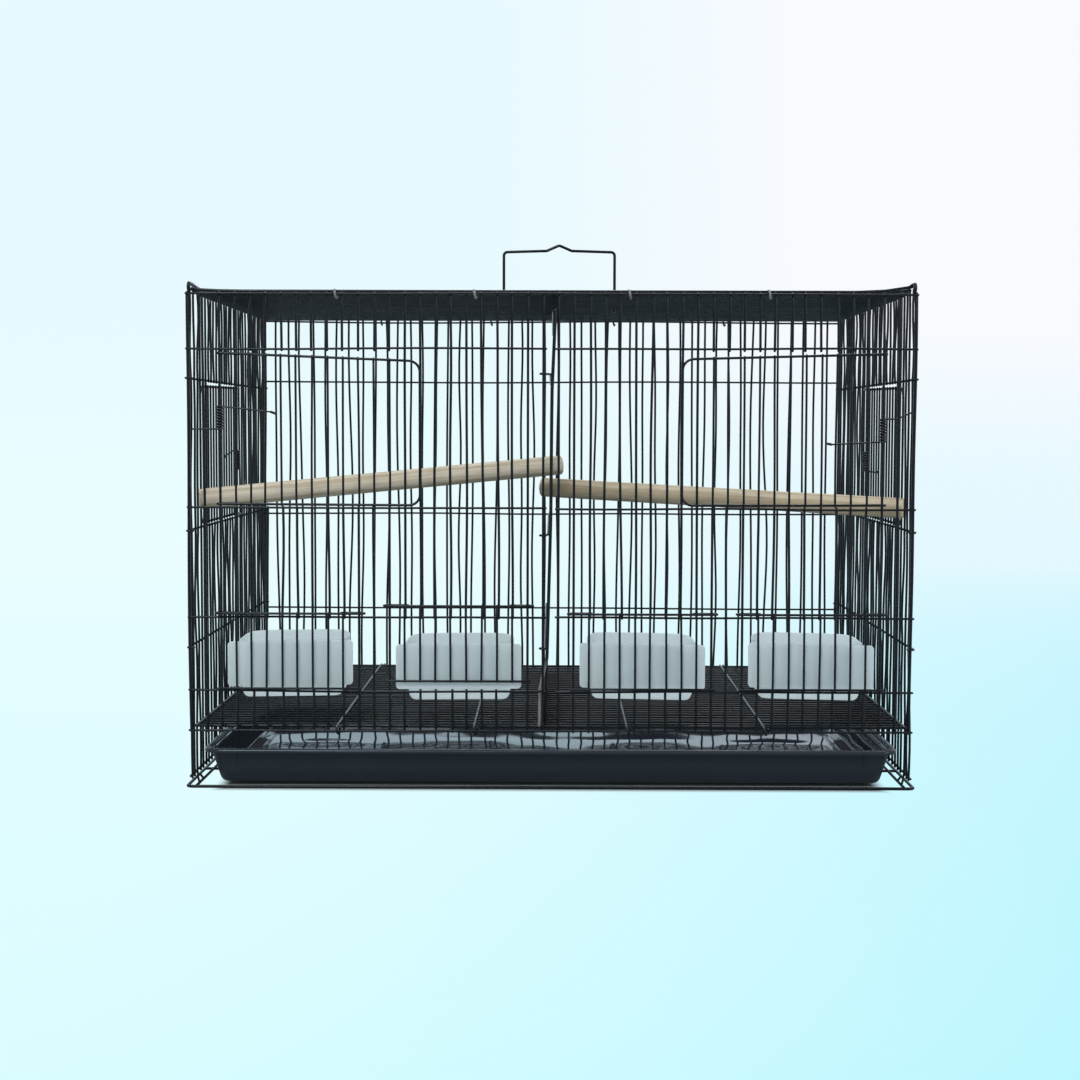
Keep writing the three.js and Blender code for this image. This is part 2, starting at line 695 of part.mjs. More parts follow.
// The four hinged doors are the same part and so are their springs: the right-hand ones are
// turned half round a level axis.
const frontDoor = hingedDoor(doorwayTop - doorwayBottom, doorwayLast - doorwayFirst);
const nestDoor = hingedDoor(nestTop - nestBottom, nestLast - nestFirst);
const spring = doorSpring();
const flipped = Math.PI;
const frontDoorLevel = (doorwayTop + doorwayBottom) / 2;
const nestDoorLevel = (nestTop + nestBottom) / 2;
const frontHinge = halfWidth - doorwayFirst * pitch;
const nestHinge = depthY(nestLast);

node('left_front_door', frontDoor, blackWire, frontFrame(-frontHinge, frontDoorLevel));
node('right_front_door', frontDoor, blackWire, frontFrame(frontHinge, frontDoorLevel)).rotation.y = flipped;
node('left_nest_door', nestDoor, blackWire, leftFrame(nestHinge, nestDoorLevel));
node('right_nest_door', nestDoor, blackWire, rightFrame(nestHinge, nestDoorLevel)).rotation.y = flipped;
node('left_front_spring', spring, springSteel, frontFrame(-frontHinge, leftSpringLevel));
node('right_front_spring', spring, springSteel, frontFrame(frontHinge, rightSpringLevel)).rotation.y = flipped;
node('left_nest_spring', spring, springSteel, leftFrame(nestHinge, nestSpringLevel));
node('right_nest_spring', spring, springSteel, rightFrame(nestHinge, nestSpringLevel)).rotation.y = flipped;

const slidingDoor = feederDoor();
const cup = seedCup();
feederHatches.forEach(({ first, last }, k) => {
  const middle = (frontX(first) + frontX(last)) / 2;
  node(`feeder_door_${k + 1}`, slidingDoor, blackWire, frontFrame(middle, k === raisedHatch ? hatchRaised : 0));
  node(`seed_cup_${k + 1}`, cup, cupPlastic, frontFrame(middle, 0));
});

const leftPerchEnds = {
  outerLevel: leftPerchOuterLevel, innerWire: leftPerchInnerWire, innerLevel: leftPerchInnerLevel,
};
const rightPerchEnds = {
  outerLevel: rightPerchOuterLevel, innerWire: rightPerchInnerWire, innerLevel: rightPerchInnerLevel,
};
node('left_perch', perch(-1, leftPerchEnds), paleWood, cage);
node('right_perch', perch(1, rightPerchEnds), paleWood, cage);

cage.updateMatrixWorld(true);
const box = new THREE.Box3().setFromObject(cage);
const middle = box.getCenter(new THREE.Vector3());
cage.position.set(-middle.x, -middle.y, -box.min.z);
cage.updateMatrixWorld(true);

export default cage;
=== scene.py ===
import bpy
import mathutils
import numpy as np
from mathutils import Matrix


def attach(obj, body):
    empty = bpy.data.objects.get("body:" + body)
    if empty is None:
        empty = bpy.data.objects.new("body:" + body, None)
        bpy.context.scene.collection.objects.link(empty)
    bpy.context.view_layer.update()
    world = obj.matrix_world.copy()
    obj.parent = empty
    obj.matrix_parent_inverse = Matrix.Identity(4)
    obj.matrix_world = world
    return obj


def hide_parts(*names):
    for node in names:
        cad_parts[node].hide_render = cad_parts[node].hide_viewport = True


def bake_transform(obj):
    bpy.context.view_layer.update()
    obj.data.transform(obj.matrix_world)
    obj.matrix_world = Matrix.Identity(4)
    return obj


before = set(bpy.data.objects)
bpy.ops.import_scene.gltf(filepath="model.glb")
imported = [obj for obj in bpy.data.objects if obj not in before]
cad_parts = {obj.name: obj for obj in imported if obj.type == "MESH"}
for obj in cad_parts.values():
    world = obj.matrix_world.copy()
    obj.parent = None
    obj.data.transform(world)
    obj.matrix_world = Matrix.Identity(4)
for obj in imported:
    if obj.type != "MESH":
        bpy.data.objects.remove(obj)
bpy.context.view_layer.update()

mm = 0.001
chance = np.random.default_rng(24)

# Places are in millimetres in the row frame until meshObject scales them.
# Wires are counted from the left on the front and back, and from the front on the sides.
grid = {
    "pitch": 12.7,
    "frontWires": 48,
    "sideWires": 32,
    # planes of the wires
    "frontY": -196.494, "backY": 197.206,
    "sideX": 299.05,
    "topZ": 411.44, "floorZ": 50.44,
}
gauge = {
    "wire": 1.1, "rod": 0.95,  # radii
    "hook": 2.5,  # radius of a turn round a wire
    "rodOffset": 1.95,  # a rod's middle stands this far outside the wires it is welded to
    "overrun": 0.9,  # a wire runs on past its last rod by this much
    "rodEnd": 1.5,  # and a rod past the corner wires
    # half lengths of a weld bead along the wires and across them, and its distance from the
    # wire's middle
    "weld": (1.15, 0.55, 1.05),
    "sides": 10,
    "step": 22,  # length of one straight facet of a wire
    # half waves in a length of `span`, and what the height of each is divided by
    "span": 360, "halfWaves": [0.7, 1.6, 2.7, 4.1], "damping": [1, 1.3, 1.8, 2.4],
}
eastward = np.array([1.0, 0.0, 0.0])
inward = np.array([0.0, 1.0, 0.0])  # from the front to the back
upward = np.array([0.0, 0.0, 1.0])


def frontX(index):
    return (index - (grid["frontWires"] - 1) / 2) * grid["pitch"]


cornerX = frontX(grid["frontWires"] - 1)


def sideY(index):
    return index * grid["pitch"] + grid["frontY"]


# y of a side or flat panel's wire: the first and last stand `inset` inside the front and back panels
def insideY(index, inset):
    return np.clip(sideY(index), grid["frontY"] + inset, grid["backY"] - inset)


def unit(vectors):
    return vectors / np.linalg.norm(vectors, axis=-1, keepdims=True)


# Faces of a grid of rings that close on themselves: quad (i, j) joins points j and j + 1 of
# rings i and i + 1, and the first and last rings get one flat face each.
def ringFaces(ringCount, pointCount):
    i, j = np.meshgrid(np.arange(ringCount - 1), np.arange(pointCount), indexing="ij")
    k = (j + 1) % pointCount
    quads = np.stack([i * pointCount + j, i * pointCount + k, (i + 1) * pointCount + k,
                      (i + 1) * pointCount + j], axis=-1).reshape(-1, 4)
    ring = np.arange(pointCount)
    return [quads, ring[None, ::-1], ring[None] + (ringCount - 1) * pointCount]


# Faces of an open grid: quad (i, j) joins points j and j + 1 of lines i and i + 1
def sheetFaces(lineCount, pointCount):
    i, j = np.meshgrid(np.arange(lineCount - 1), np.arange(pointCount - 1), indexing="ij")
    first = (i * pointCount + j).ravel()
    return np.stack([first, first + pointCount, first + pointCount + 1, first + 1], axis=-1)


# Signed volume by the divergence theorem: the sum over all fans of a . (b x c) / 6. A closed
# part whose volume is negative is inside out, and its faces are turned.
def facingOut(points, faces):
    volume = 0.0
    for group in faces:
        corner = points[group]
        for k in range(1, group.shape[1] - 1):
            volume += np.einsum("ij,ij->", corner[:, 0], np.cross(corner[:, k], corner[:, k + 1]))
    return (points, faces) if volume > 0 else (points, [group[:, ::-1] for group in faces])


# Stack of rings: S(i, j) is point j of ring i.
def stacked(rings):
    rings = np.asarray(rings, float)
    return facingOut(rings.reshape(-1, 3), ringFaces(rings.shape[0], rings.shape[1]))


# A profile carried along a path: S(u, v) = P(u) + s(u) (a(v) N(u) + b(v) B(u)), where T is the
# mean direction of the two runs that meet at P, N the part of `up` square to T, B = T x N,
# (a, b) the profile and s its scale.
def carried(path, profile, up, scale=None):
    path = np.asarray(path, float)
    runs = unit(np.diff(path, axis=0))
    tangent = unit(np.vstack([runs[:1], runs[:-1] + runs[1:], runs[-1:]]))
    normal = unit(up - (tangent @ up)[:, None] * tangent)
    binormal = np.cross(tangent, normal)
    scale = np.ones(len(path)) if scale is None else np.asarray(scale, float)
    across = profile[:, 0][None, :, None] * normal[:, None] + profile[:, 1][None, :, None] * binormal[:, None]
    rings = path[:, None] + scale[:, None, None] * across
    return facingOut(rings.reshape(-1, 3), ringFaces(len(path), len(profile)))


def circle(radius, sides):
    turn = np.arange(sides) * 2 * np.pi / sides
    return radius * np.stack([np.cos(turn), np.sin(turn)], axis=-1)


# Round wire with a small dome at each end: two more rings, 0.6 and 0.92 of a radius past the
# end, narrow it to 0.8 and 0.38 of its width.
def wire(path, radius, up, sides=None):
    path = np.asarray(path, float)
    first, last = unit(path[0] - path[1]), unit(path[-1] - path[-2])
    dome = np.array([0.92, 0.6])[:, None] * radius
    full = np.vstack([path[0] + dome * first, path, path[-1] + dome[::-1] * last])
    scale = np.concatenate([[0.38, 0.8], np.ones(len(path)), [0.8, 0.38]])
    return carried(full, circle(radius, sides or gauge["sides"]), up, scale)


# Path from start to end that isn't quite straight: its sideways shift is the sum of four sine
# waves whose heights and phases come from the seeded generator.
def wavyRun(start, end, sway, sideways):
    start, end = np.asarray(start, float), np.asarray(end, float)
    length = np.linalg.norm(end - start)
    share = np.linspace(0, 1, max(int(length / gauge["step"]) + 2, 2))
    height = chance.normal(0, sway, 4) / np.array(gauge["damping"])
    phase = chance.uniform(0, 2 * np.pi, 4)
    waves = np.array(gauge["halfWaves"])[:, None] * np.pi * share * length / gauge["span"]
    shift = (height[:, None] * np.sin(waves + phase[:, None])).sum(axis=0)
    return start + share[:, None] * (end - start) + shift[:, None] * sideways


def wavyRod(start, end, sway, sideways, up):
    return wire(wavyRun(start, end, sway, sideways), gauge["rod"], up)


# Points of an arc: C + r (cos t e + sin t f) for t from `start` to `end`, in degrees.
def arc(centre, radius, start, end, e, f, count):
    turn = np.radians(np.linspace(start, end, count))[:, None]
    return np.asarray(centre, float) + radius * (np.cos(turn) * e + np.sin(turn) * f)


# Path with its corners rounded: at a corner where the way turns by t, the arc starts r tan(t / 2)
# before it, at A, and runs through A + r sin(a) u + r (1 - cos(a)) n for a from 0 to t. An arc
# takes up less than half of the runs beside it.
def rounded(points, radius, count=6):
    points = np.asarray(points, float)
    path = [points[:1]]
    for before, corner, after in zip(points[:-2], points[1:-1], points[2:]):
        u, w = unit(corner - before), unit(after - corner)
        turn = np.arccos(np.clip(u @ w, -1, 1))
        if turn < 0.02:
            path.append(corner[None])
            continue
        room = 0.49 * min(np.linalg.norm(corner - before), np.linalg.norm(after - corner))
        r = min(radius, room / np.tan(turn / 2))
        side = unit(w - (u @ w) * u)
        angle = np.linspace(0, turn, count)[:, None]
        start = corner - u * r * np.tan(turn / 2)
        path.append(start + r * np.sin(angle) * u + r * (1 - np.cos(angle)) * side)
    path.append(points[-1:])
    return np.vstack(path)


# Ellipsoid p + (a cos s cos t, b cos s sin t, c sin s) with flattened poles
def bead(place, size):
    lat = np.radians([-62, -24, 24, 62])[:, None]
    lon = np.radians(np.arange(7) * 360 / 7)[None]
    rings = np.stack([np.cos(lat) * np.cos(lon), np.cos(lat) * np.sin(lon),
                      np.sin(lat) * np.ones_like(lon)], axis=-1)
    return stacked(np.asarray(place, float) + rings * np.asarray(size, float))


# Weld bead between a wire and a rod that lies on its `outward` side, long along both
def weld(place, outward):
    along, across, offset = gauge["weld"]
    return bead(place + offset * outward, np.where(outward == 0, along, across))


def pointsOf(parts):
    return np.concatenate([points for points, _ in parts])


def meshObject(name, parts, material, body=None, nodes=(), sharp=None):
    counts = [len(points) for points, _ in parts]
    base = np.concatenate([[0], np.cumsum(counts)[:-1]])
    groups = [group + b for (_, faces), b in zip(parts, base) for group in faces]
    corners = np.concatenate([group.ravel() for group in groups]).astype(np.int32)
    totals = np.concatenate([np.full(len(group), group.shape[1]) for group in groups])
    starts = np.concatenate([[0], np.cumsum(totals)[:-1]]).astype(np.int32)
    points = pointsOf(parts) * mm
    mesh = bpy.data.meshes.new(name)
    mesh.vertices.add(len(points))
    mesh.vertices.foreach_set("co", points.ravel().astype(np.float32))
    mesh.loops.add(len(corners))
    mesh.loops.foreach_set("vertex_index", corners)
    mesh.polygons.add(len(starts))
    mesh.polygons.foreach_set("loop_start", starts)
    mesh.polygons.foreach_set("use_smooth", np.ones(len(starts), bool))
    mesh.update(calc_edges=True)
    mesh.validate()
    if sharp:
        mesh.set_sharp_from_angle(angle=np.radians(sharp))
    obj = bpy.data.objects.new(name, mesh)
    bpy.context.scene.collection.objects.link(obj)
    mesh.materials.append(material)
    if nodes:
        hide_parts(*nodes)
    if body:
        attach(obj, body)
    return obj


# Values from 0 to 1 on an object's vertices, which its material reads by name
def mark(obj, name, values):
    obj.data.attributes.new(name, "FLOAT", "POINT").data.foreach_set("value", np.asarray(values, np.float32))


# Adds nodes to one tree. A socket, found by name or number, is given a value or another node's output.
class Shading:
    def __init__(self, tree):
        self.tree = tree

    def feed(self, node, inputs):
        for key, value in inputs.items():
            if isinstance(value, bpy.types.NodeSocket):
                self.tree.links.new(value, node.inputs[key])
            else:
                node.inputs[key].default_value = value

    def add(self, kind, place, inputs=None, **settings):
        node = self.tree.nodes.new(f"ShaderNode{kind}")
        node.location = place
        for key, value in settings.items():
            setattr(node, key, value)
        self.feed(node, inputs or {})
        return node

    def maths(self, place, operation, *values, **settings):
        return self.add("Math", place, dict(enumerate(values)), operation=operation, **settings).outputs[0]

    def mixed(self, place, factor, a, b, blend="MIX"):
        inputs = {"Factor": factor, "A": a, "B": b}
        return self.add("Mix", place, inputs, data_type="RGBA", blend_type=blend).outputs["Result"]

    # `span` is the value's least and most, and `into` what they become
    def ranged(self, place, value, span=(0.0, 1.0), into=(0.0, 1.0), kind="LINEAR"):
        ends = dict(zip(("From Min", "From Max", "To Min", "To Max"), (*span, *into)))
        inputs = {"Value": value, **ends}
        return self.add("MapRange", place, inputs, interpolation_type=kind).outputs["Result"]

    def noise(self, place, vector, scale, detail, roughness, distortion=0.0):
        inputs = {"Vector": vector, "Scale": scale, "Detail": detail, "Roughness": roughness,
                  "Distortion": distortion}
        return self.add("TexNoise", place, inputs).outputs["Fac"]

    def mapped(self, place, vector, kind="POINT", **inputs):
        return self.add("Mapping", place, {"Vector": vector, **inputs}, vector_type=kind).outputs["Vector"]

    # Shows a mix of two shaders on the surface
    def show(self, place, share, first, second):
        both = self.add("MixShader", place, {"Fac": share, 1: first, 2: second})
        output = next(node for node in self.tree.nodes if node.type in ("OUTPUT_MATERIAL", "OUTPUT_WORLD"))
        self.feed(output, {"Surface": both.outputs[0]})

    # Two colours with their places on the ramp
    def ramp(self, place, value, *stops):
        node = self.add("ValToRGB", place, {"Fac": value})
        for element, (position, color) in zip(node.color_ramp.elements, stops):
            element.position, element.color = position, color
        return node.outputs["Color"]


def newMaterial(name):
    material = bpy.data.materials.new(name)
    material.use_nodes = True
    return material, Shading(material.node_tree), material.node_tree.nodes["Principled BSDF"]


# Group with a Vector and the named values coming in, and Color, Roughness and Height going out
def newGroup(name, values):
    tree = bpy.data.node_groups.new(name, "ShaderNodeTree")
    tree.interface.new_socket(name="Vector", in_out="INPUT", socket_type="NodeSocketVector")
    for label, value in values.items():
        kind = "NodeSocketColor" if isinstance(value, tuple) else "NodeSocketFloat"
        tree.interface.new_socket(name=label, in_out="INPUT", socket_type=kind).default_value = value
    for label, kind in (("Color", "Color"), ("Roughness", "Float"), ("Height", "Float")):
        tree.interface.new_socket(name=label, in_out="OUTPUT", socket_type=f"NodeSocket{kind}")
    given, result = tree.nodes.new("NodeGroupInput"), tree.nodes.new("NodeGroupOutput")
    given.location, result.location = (-900, 0), (700, 0)
    return tree, Shading(tree), given.outputs, result


# Sprayed or dipped finish on thin metal: an even coat with fine orange peel, rubbed lighter in
# places, and a rougher dusty bloom in broad patches
def coatGroup():
    tree, shading, given, result = newGroup("coatFinish", {
        "Coat Color": (0.02, 0.02, 0.02, 1),
        "Rubbed Color": (0.2, 0.2, 0.2, 1),
        "Dust Color": (0.3, 0.3, 0.3, 1),
        "Rubbed Amount": 0.2,
        "Dust Amount": 0.1,
        "Roughness": 0.4,
    })
    peel = shading.noise((-600, 200), given["Vector"], 900.0, 2.0, 0.5)
    rub = shading.noise((-600, -50), given["Vector"], 230.0, 4.0, 0.65)
    dust = shading.noise((-600, -300), given["Vector"], 14.0, 3.0, 0.55)
    rubMask = shading.ranged((-380, -50), rub, (0.58, 0.74))
    dustMask = shading.ranged((-380, -300), dust, (0.42, 0.7))
    rubbed = shading.maths((-180, -50), "MULTIPLY", rubMask, given["Rubbed Amount"])
    dusty = shading.maths((-180, -300), "MULTIPLY", dustMask, given["Dust Amount"])
    tone = shading.mixed((60, 150), rubbed, given["Coat Color"], given["Rubbed Color"])
    tone = shading.mixed((260, 150), dusty, tone, given["Dust Color"])
    rougher = shading.maths((60, -150), "MULTIPLY_ADD", dusty, 0.9, given["Roughness"], use_clamp=True)
    uneven = shading.maths((260, -150), "MULTIPLY_ADD", peel, 0.12, rougher, use_clamp=True)
    shading.feed(result, {"Color": tone, "Roughness": uneven, "Height": peel})
    return tree


# Moulded plastic: broad flow marks in the colour, fine scuffs in the roughness, and a slow
# waviness of the skin
def mouldGroup():
    tree, shading, given, result = newGroup("mouldedSkin", {
        "Base Color": (0.5, 0.5, 0.5, 1),
        "Flow Color": (0.6, 0.6, 0.6, 1),
        "Flow Amount": 0.3,
        "Flow Scale": 12.0,
        "Scuff Amount": 0.15,
        "Roughness": 0.3,
        "Wave Scale": 18.0,
    })
    flow = shading.noise((-600, 150), given["Vector"], given["Flow Scale"], 3.0, 0.5, 0.8)
    scuff = shading.noise((-600, -100), given["Vector"], 320.0, 5.0, 0.7)
    wave = shading.noise((-600, -350), given["Vector"], given["Wave Scale"], 1.0, 0.4)
    amount = shading.maths((-300, 150), "MULTIPLY", flow, given["Flow Amount"])
    tone = shading.mixed((0, 150), amount, given["Base Color"], given["Flow Color"])
    mask = shading.ranged((-380, -100), scuff, (0.5, 0.72))
    rough = shading.maths((-100, -100), "MULTIPLY_ADD", mask, given["Scuff Amount"], given["Roughness"],
                          use_clamp=True)
    shading.feed(result, {"Color": tone, "Roughness": rough, "Height": wave})
    return tree


coatTree, mouldTree = coatGroup(), mouldGroup()


# Material from a finish group: its values, the shader's own values, and the relief's strength and
# height in metres
def finished(name, tree, values, shader, relief):
    material, shading, principled = newMaterial(name)
    place = shading.add("TexCoord", (-900, 0)).outputs["Object"]
    group = shading.add("Group", (-500, 0), {"Vector": place, **values}, node_tree=tree)
    bump = shading.add("Bump", (-250, -250),
                       {"Height": group.outputs["Height"], "Strength": relief[0], "Distance": relief[1]})
    shading.feed(principled, {"Base Color": group.outputs["Color"], "Roughness": group.outputs["Roughness"],
                              "Normal": bump.outputs["Normal"], **shader})
    return material


def finishOf(material):
    return next(node for node in material.node_tree.nodes if node.type == "GROUP")


blackWire = finished("blackWire", coatTree, {
    "Coat Color": (0.0024, 0.0031, 0.0046, 1),
    "Rubbed Color": (0.05, 0.057, 0.066, 1),
    "Dust Color": (0.022, 0.026, 0.031, 1),
    "Rubbed Amount": 0.3,
    "Dust Amount": 0.18,
    "Roughness": 0.2,
}, {"Specular IOR Level": 0.36, "Specular Tint": (0.8, 0.92, 1.0, 1)}, (0.3, 0.0001))


# Painted highlight: where a mesh carries this mark, the coat goes over to this light grey colour
def addPaintedHighlight(material, color):
    shading, group = Shading(material.node_tree), finishOf(material)
    paintedHighlight = shading.add("Attribute", (-1000, 250), attribute_name="paintedHighlight").outputs["Fac"]
    coat = tuple(group.inputs["Coat Color"].default_value)
    shading.feed(group, {"Coat Color": shading.mixed((-760, 250), paintedHighlight, coat, color)})


# light grey that paints the highlights on the marked wires
addPaintedHighlight(blackWire, (0.27, 0.27, 0.26, 1))

springWire = finished("springWire", coatTree, {
    "Coat Color": (0.008, 0.009, 0.011, 1),
    "Rubbed Color": (0.3, 0.3, 0.3, 1),
    "Dust Color": (0.06, 0.06, 0.06, 1),
    "Rubbed Amount": 0.5,
    "Dust Amount": 0.15,
    "Roughness": 0.26,
}, {"Metallic": 0.3}, (0.25, 0.0001))

trayPlastic = finished("trayPlastic", mouldTree, {
    "Base Color": (0.0185, 0.0245, 0.033, 1),
    "Flow Color": (0.0275, 0.036, 0.048, 1),
    "Flow Amount": 0.8,
    "Flow Scale": 9.0,
    "Scuff Amount": 0.06,
    "Roughness": 0.3,
    "Wave Scale": 9.0,
}, {"Specular IOR Level": 0.34, "Specular Tint": (0.78, 0.89, 1.0, 1)}, (0.5, 0.004))


# The tray's inside is polished by cleaning: the mesh's mark `shine` brings the roughness down
def addShine(material, dull, polished):
    shading = Shading(material.node_tree)
    shine = shading.add("Attribute", (-900, -250), attribute_name="shine").outputs["Fac"]
    roughness = shading.ranged((-700, -250), shine, into=(dull, polished))
    shading.feed(finishOf(material), {"Roughness": roughness})


addShine(trayPlastic, 0.38, 0.04)

cupPlastic = finished("cupPlastic", mouldTree, {
    "Base Color": (0.66, 0.725, 0.74, 1),
    "Flow Color": (0.77, 0.825, 0.84, 1),
    "Flow Amount": 0.7,
    "Flow Scale": 22.0,
    "Scuff Amount": 0.2,
    "Roughness": 0.34,
    "Wave Scale": 60.0,
}, {"Transmission Weight": 0.2, "IOR": 1.49}, (0.2, 0.0008))


cupTranslucencyAndPaintedGlow = {
    "color": (0.84, 0.9, 0.92, 1), "share": 0.42,
    # painted glow: levels, and places from front to back, in metres, with the glow strengths that belong to
    # them
    "foot": ((0.09, 0.08), (0.0, 0.3)), "back": ((-0.19, -0.15), (0.03, 0.12)),
}


# Milky plastic lets some light through from behind: a Translucent shader takes part of the mix.
# The bowl's foot and its back wall also glow by emission: painted light that lightens their shade.
def addTranslucencyAndPaintedGlow(material):
    shading, principled = Shading(material.node_tree), material.node_tree.nodes["Principled BSDF"]
    place = shading.add("TexCoord", (-900, -500)).outputs["Object"]
    split = shading.add("SeparateXYZ", (-720, -500), {"Vector": place}).outputs
    foot = shading.ranged((-520, -450), split["Z"], *cupTranslucencyAndPaintedGlow["foot"])
    back = shading.ranged((-520, -700), split["Y"], *cupTranslucencyAndPaintedGlow["back"])
    # painted glow, an emission on the shaded foot and back wall
    inside = shading.maths((-300, -550), "MAXIMUM", foot, back)
    shading.feed(principled, {"Emission Strength": inside, "Emission Color": cupTranslucencyAndPaintedGlow["color"]})
    through = shading.add("BsdfTranslucent", (0, -400), {"Color": cupTranslucencyAndPaintedGlow["color"]}).outputs[0]
    shading.show((300, -100), cupTranslucencyAndPaintedGlow["share"], principled.outputs[0], through)


addTranslucencyAndPaintedGlow(cupPlastic)


# Turned softwood: growth rings are a wave texture round an axis beside the dowel, and fine
# streaks are noise stretched 40 times along it. `along` is the dowel's direction, `offset` moves
# the rings' axis, and `tones` are the rings' dark and light colours.
def woodMaterial(name, along, offset, tones):
    material, shading, principled = newMaterial(name)
    place = shading.add("TexCoord", (-1300, 0)).outputs["Object"]
    turn = (0, -np.arcsin(along[2]), np.arctan2(along[1], along[0]))
    turned = shading.mapped((-1100, 0), place, "TEXTURE", Rotation=turn)
    drawn = shading.mapped((-900, 200), turned, Scale=(0.16, 1.0, 1.0), Location=(0.0, offset, 0.0))
    fibre = shading.mapped((-900, -150), turned, Scale=(0.025, 1.0, 1.0))
    wave = {"Vector": drawn, "Scale": 62.0, "Distortion": 5.0, "Detail": 2.0, "Detail Scale": 0.6}
    rings = shading.add("TexWave", (-700, 200), wave, wave_type="BANDS", bands_direction="Y")
    streaks = shading.noise((-700, -150), fibre, 900.0, 4.0, 0.6)
    broad = shading.noise((-700, -400), turned, 34.0, 3.0, 0.5)
    white = (1, 1, 1, 1)
    ringTone = shading.ramp((-480, 200), rings.outputs["Fac"], (0.15, tones[0]), (0.7, tones[1]))
    streakTone = shading.ramp((-480, -100), streaks, (0.36, (0.68, 0.6, 0.5, 1)), (0.6, white))
    stainTone = shading.ramp((-480, -400), broad, (0.3, (0.8, 0.77, 0.72, 1)), (0.55, white))
    tone = shading.mixed((-200, 100), 0.55, ringTone, streakTone, "MULTIPLY")
    tone = shading.mixed((0, 100), 0.6, tone, stainTone, "MULTIPLY")
    rough = shading.ranged((-200, -200), streaks, into=(0.5, 0.72))
    bump = shading.add("Bump", (-200, -420), {"Height": streaks, "Strength": 0.35, "Distance": 0.0004})
    shading.feed(principled, {"Base Color": tone, "Roughness": rough, "Normal": bump.outputs["Normal"]})
    return material


print("materials are ready")


frontPanel = {
    "sway": 0.55, "rodSway": 0.35,
    "cornerRadius": 1.4,
    "top": 410, "bottom": 49,
    "doorway": {"wires": [(2, 14)], "low": 234, "high": 365},
    "hatch": {"wires": [(2, 11), (13, 22)], "low": 82, "high": 144},
    "slotHalf": 4.2,  # the middle rods stop this far from the middle, where the divider stands
    "still": [2, 11, 13, 22, 23, 24, 25, 34, 36, 45],  # wires that carry a moving piece
}


def mirroredWires(first, last):
    return [(first, last), (grid["frontWires"] - 1 - last, grid["frontWires"] - 1 - first)]


# Levels where a panel's wires end
def pastRods(panel):
    return panel["bottom"] - gauge["overrun"], panel["top"] + gauge["overrun"]


# Spans of one wire between the openings that interrupt it
def wireSpans(index, low, high, openings):
    spans, start = [], low
    for bottom, top in sorted(levels for first, last, *levels in openings if first < index < last):
        spans.append((start, bottom + gauge["overrun"]))
        start = top - gauge["overrun"]
    return spans + [(start, high)]


def frontPieces():
    p, parts = frontPanel, []
    y = grid["frontY"]
    rodY, reach = y - gauge["rodOffset"], cornerX + gauge["rodEnd"]
    openings = [(*pair, opening["low"], opening["high"]) for opening in (p["doorway"], p["hatch"])
                for wires in opening["wires"] for pair in mirroredWires(*wires)]
    borders = [p["top"], p["bottom"]]
    levels = [*borders, p["doorway"]["low"], p["doorway"]["high"], p["hatch"]["low"], p["hatch"]["high"]]
    for index in range(grid["frontWires"]):
        x, sway = frontX(index), 0 if index in p["still"] else p["sway"]
        radius = p["cornerRadius"] if index in (0, grid["frontWires"] - 1) else gauge["wire"]
        for low, high in wireSpans(index, *pastRods(p), openings):
            path = wavyRun((x, y, low), (x, y, high), sway, eastward)
            parts.append(wire(path, radius, inward))
            for level in levels:
                if low <= level <= high:
                    parts.append(weld((np.interp(level, path[:, 2], path[:, 0]), y, level), -inward))
    for level in levels:
        runs = [(-reach, reach)] if level in borders else [(-reach, -p["slotHalf"]), (p["slotHalf"], reach)]
        for start, end in runs:
            parts.append(wavyRod((start, rodY, level), (end, rodY, level), p["rodSway"], upward, inward))
    return parts


meshObject("front_wires", frontPieces(), blackWire, "cage_body", ["front_panel"])

backPanel = {
    "sway": 0.9, "cornerSway": 0.15, "rodSway": 0.5,
    "top": 410, "bottom": 9,
    "rods": [348, 211, 112],
    "floorRod": 49.84,  # the floor hooks onto it
}


def backPieces():
    p, parts = backPanel, []
    y = grid["backY"]
    rodY, reach = y + gauge["rodOffset"], cornerX + gauge["rodEnd"]
    levels, (low, high) = [p["top"], *p["rods"], p["floorRod"], p["bottom"]], pastRods(p)
    for index in range(grid["frontWires"]):
        x, sway = frontX(index), p["cornerSway"] if index in (0, grid["frontWires"] - 1) else p["sway"]
        path = wavyRun((x, y, low), (x, y, high), sway, eastward)
        parts.append(wire(path, gauge["wire"], inward, 8))
        for level in levels:
            parts.append(weld((np.interp(level, path[:, 2], path[:, 0]), y, level), inward))
    for level in levels:
        parts.append(wavyRod((-reach, rodY, level), (reach, rodY, level), p["rodSway"], upward, inward))
    return parts


meshObject("back_wires", backPieces(), blackWire, "cage_body", ["back_panel"])
print("front and back panels are in")


sidePanel = {
    "sway": 1.5,
    "radius": 1.0,
    "top": 416, "bottom": 9,
    "rods": [341, 215, 118],
    "nest": {"wires": (6, 18), "low": 215, "high": 341},
    "still": [4, 6, 18],
    # between its welds each wire is bowed sideways, apart from those that carry something
    "bow": (0.42, 0.34), "mostBow": 1.0, "straight": [4, 5, 6, 18, 19], "step": 13, "seed": 11,
    "borderInset": 5.5,  # a border wire stands this far inside the front and back panels
    "short": 0.6,  # the uprights end this far below the top rod's level
    "hookTurn": 215,
    "bottomRod": {"offset": 1.9, "end": 1.0, "sway": 0.3},  # `end` is how far it runs past the border wires
    # the top rod lies inside the uprights' ends, and its front end rises and curls down onto the
    # front panel. `climb` is distances behind that panel with shares of the rise.
    "topRod": {"radius": 1.6, "inset": 1.9, "end": 2.3, "rise": 2.6, "climb": [(50, 0), (22, 0.6), (8, 0.95)],
               "curl": 3.1, "curlEnd": -75, "ahead": 0.5},
}


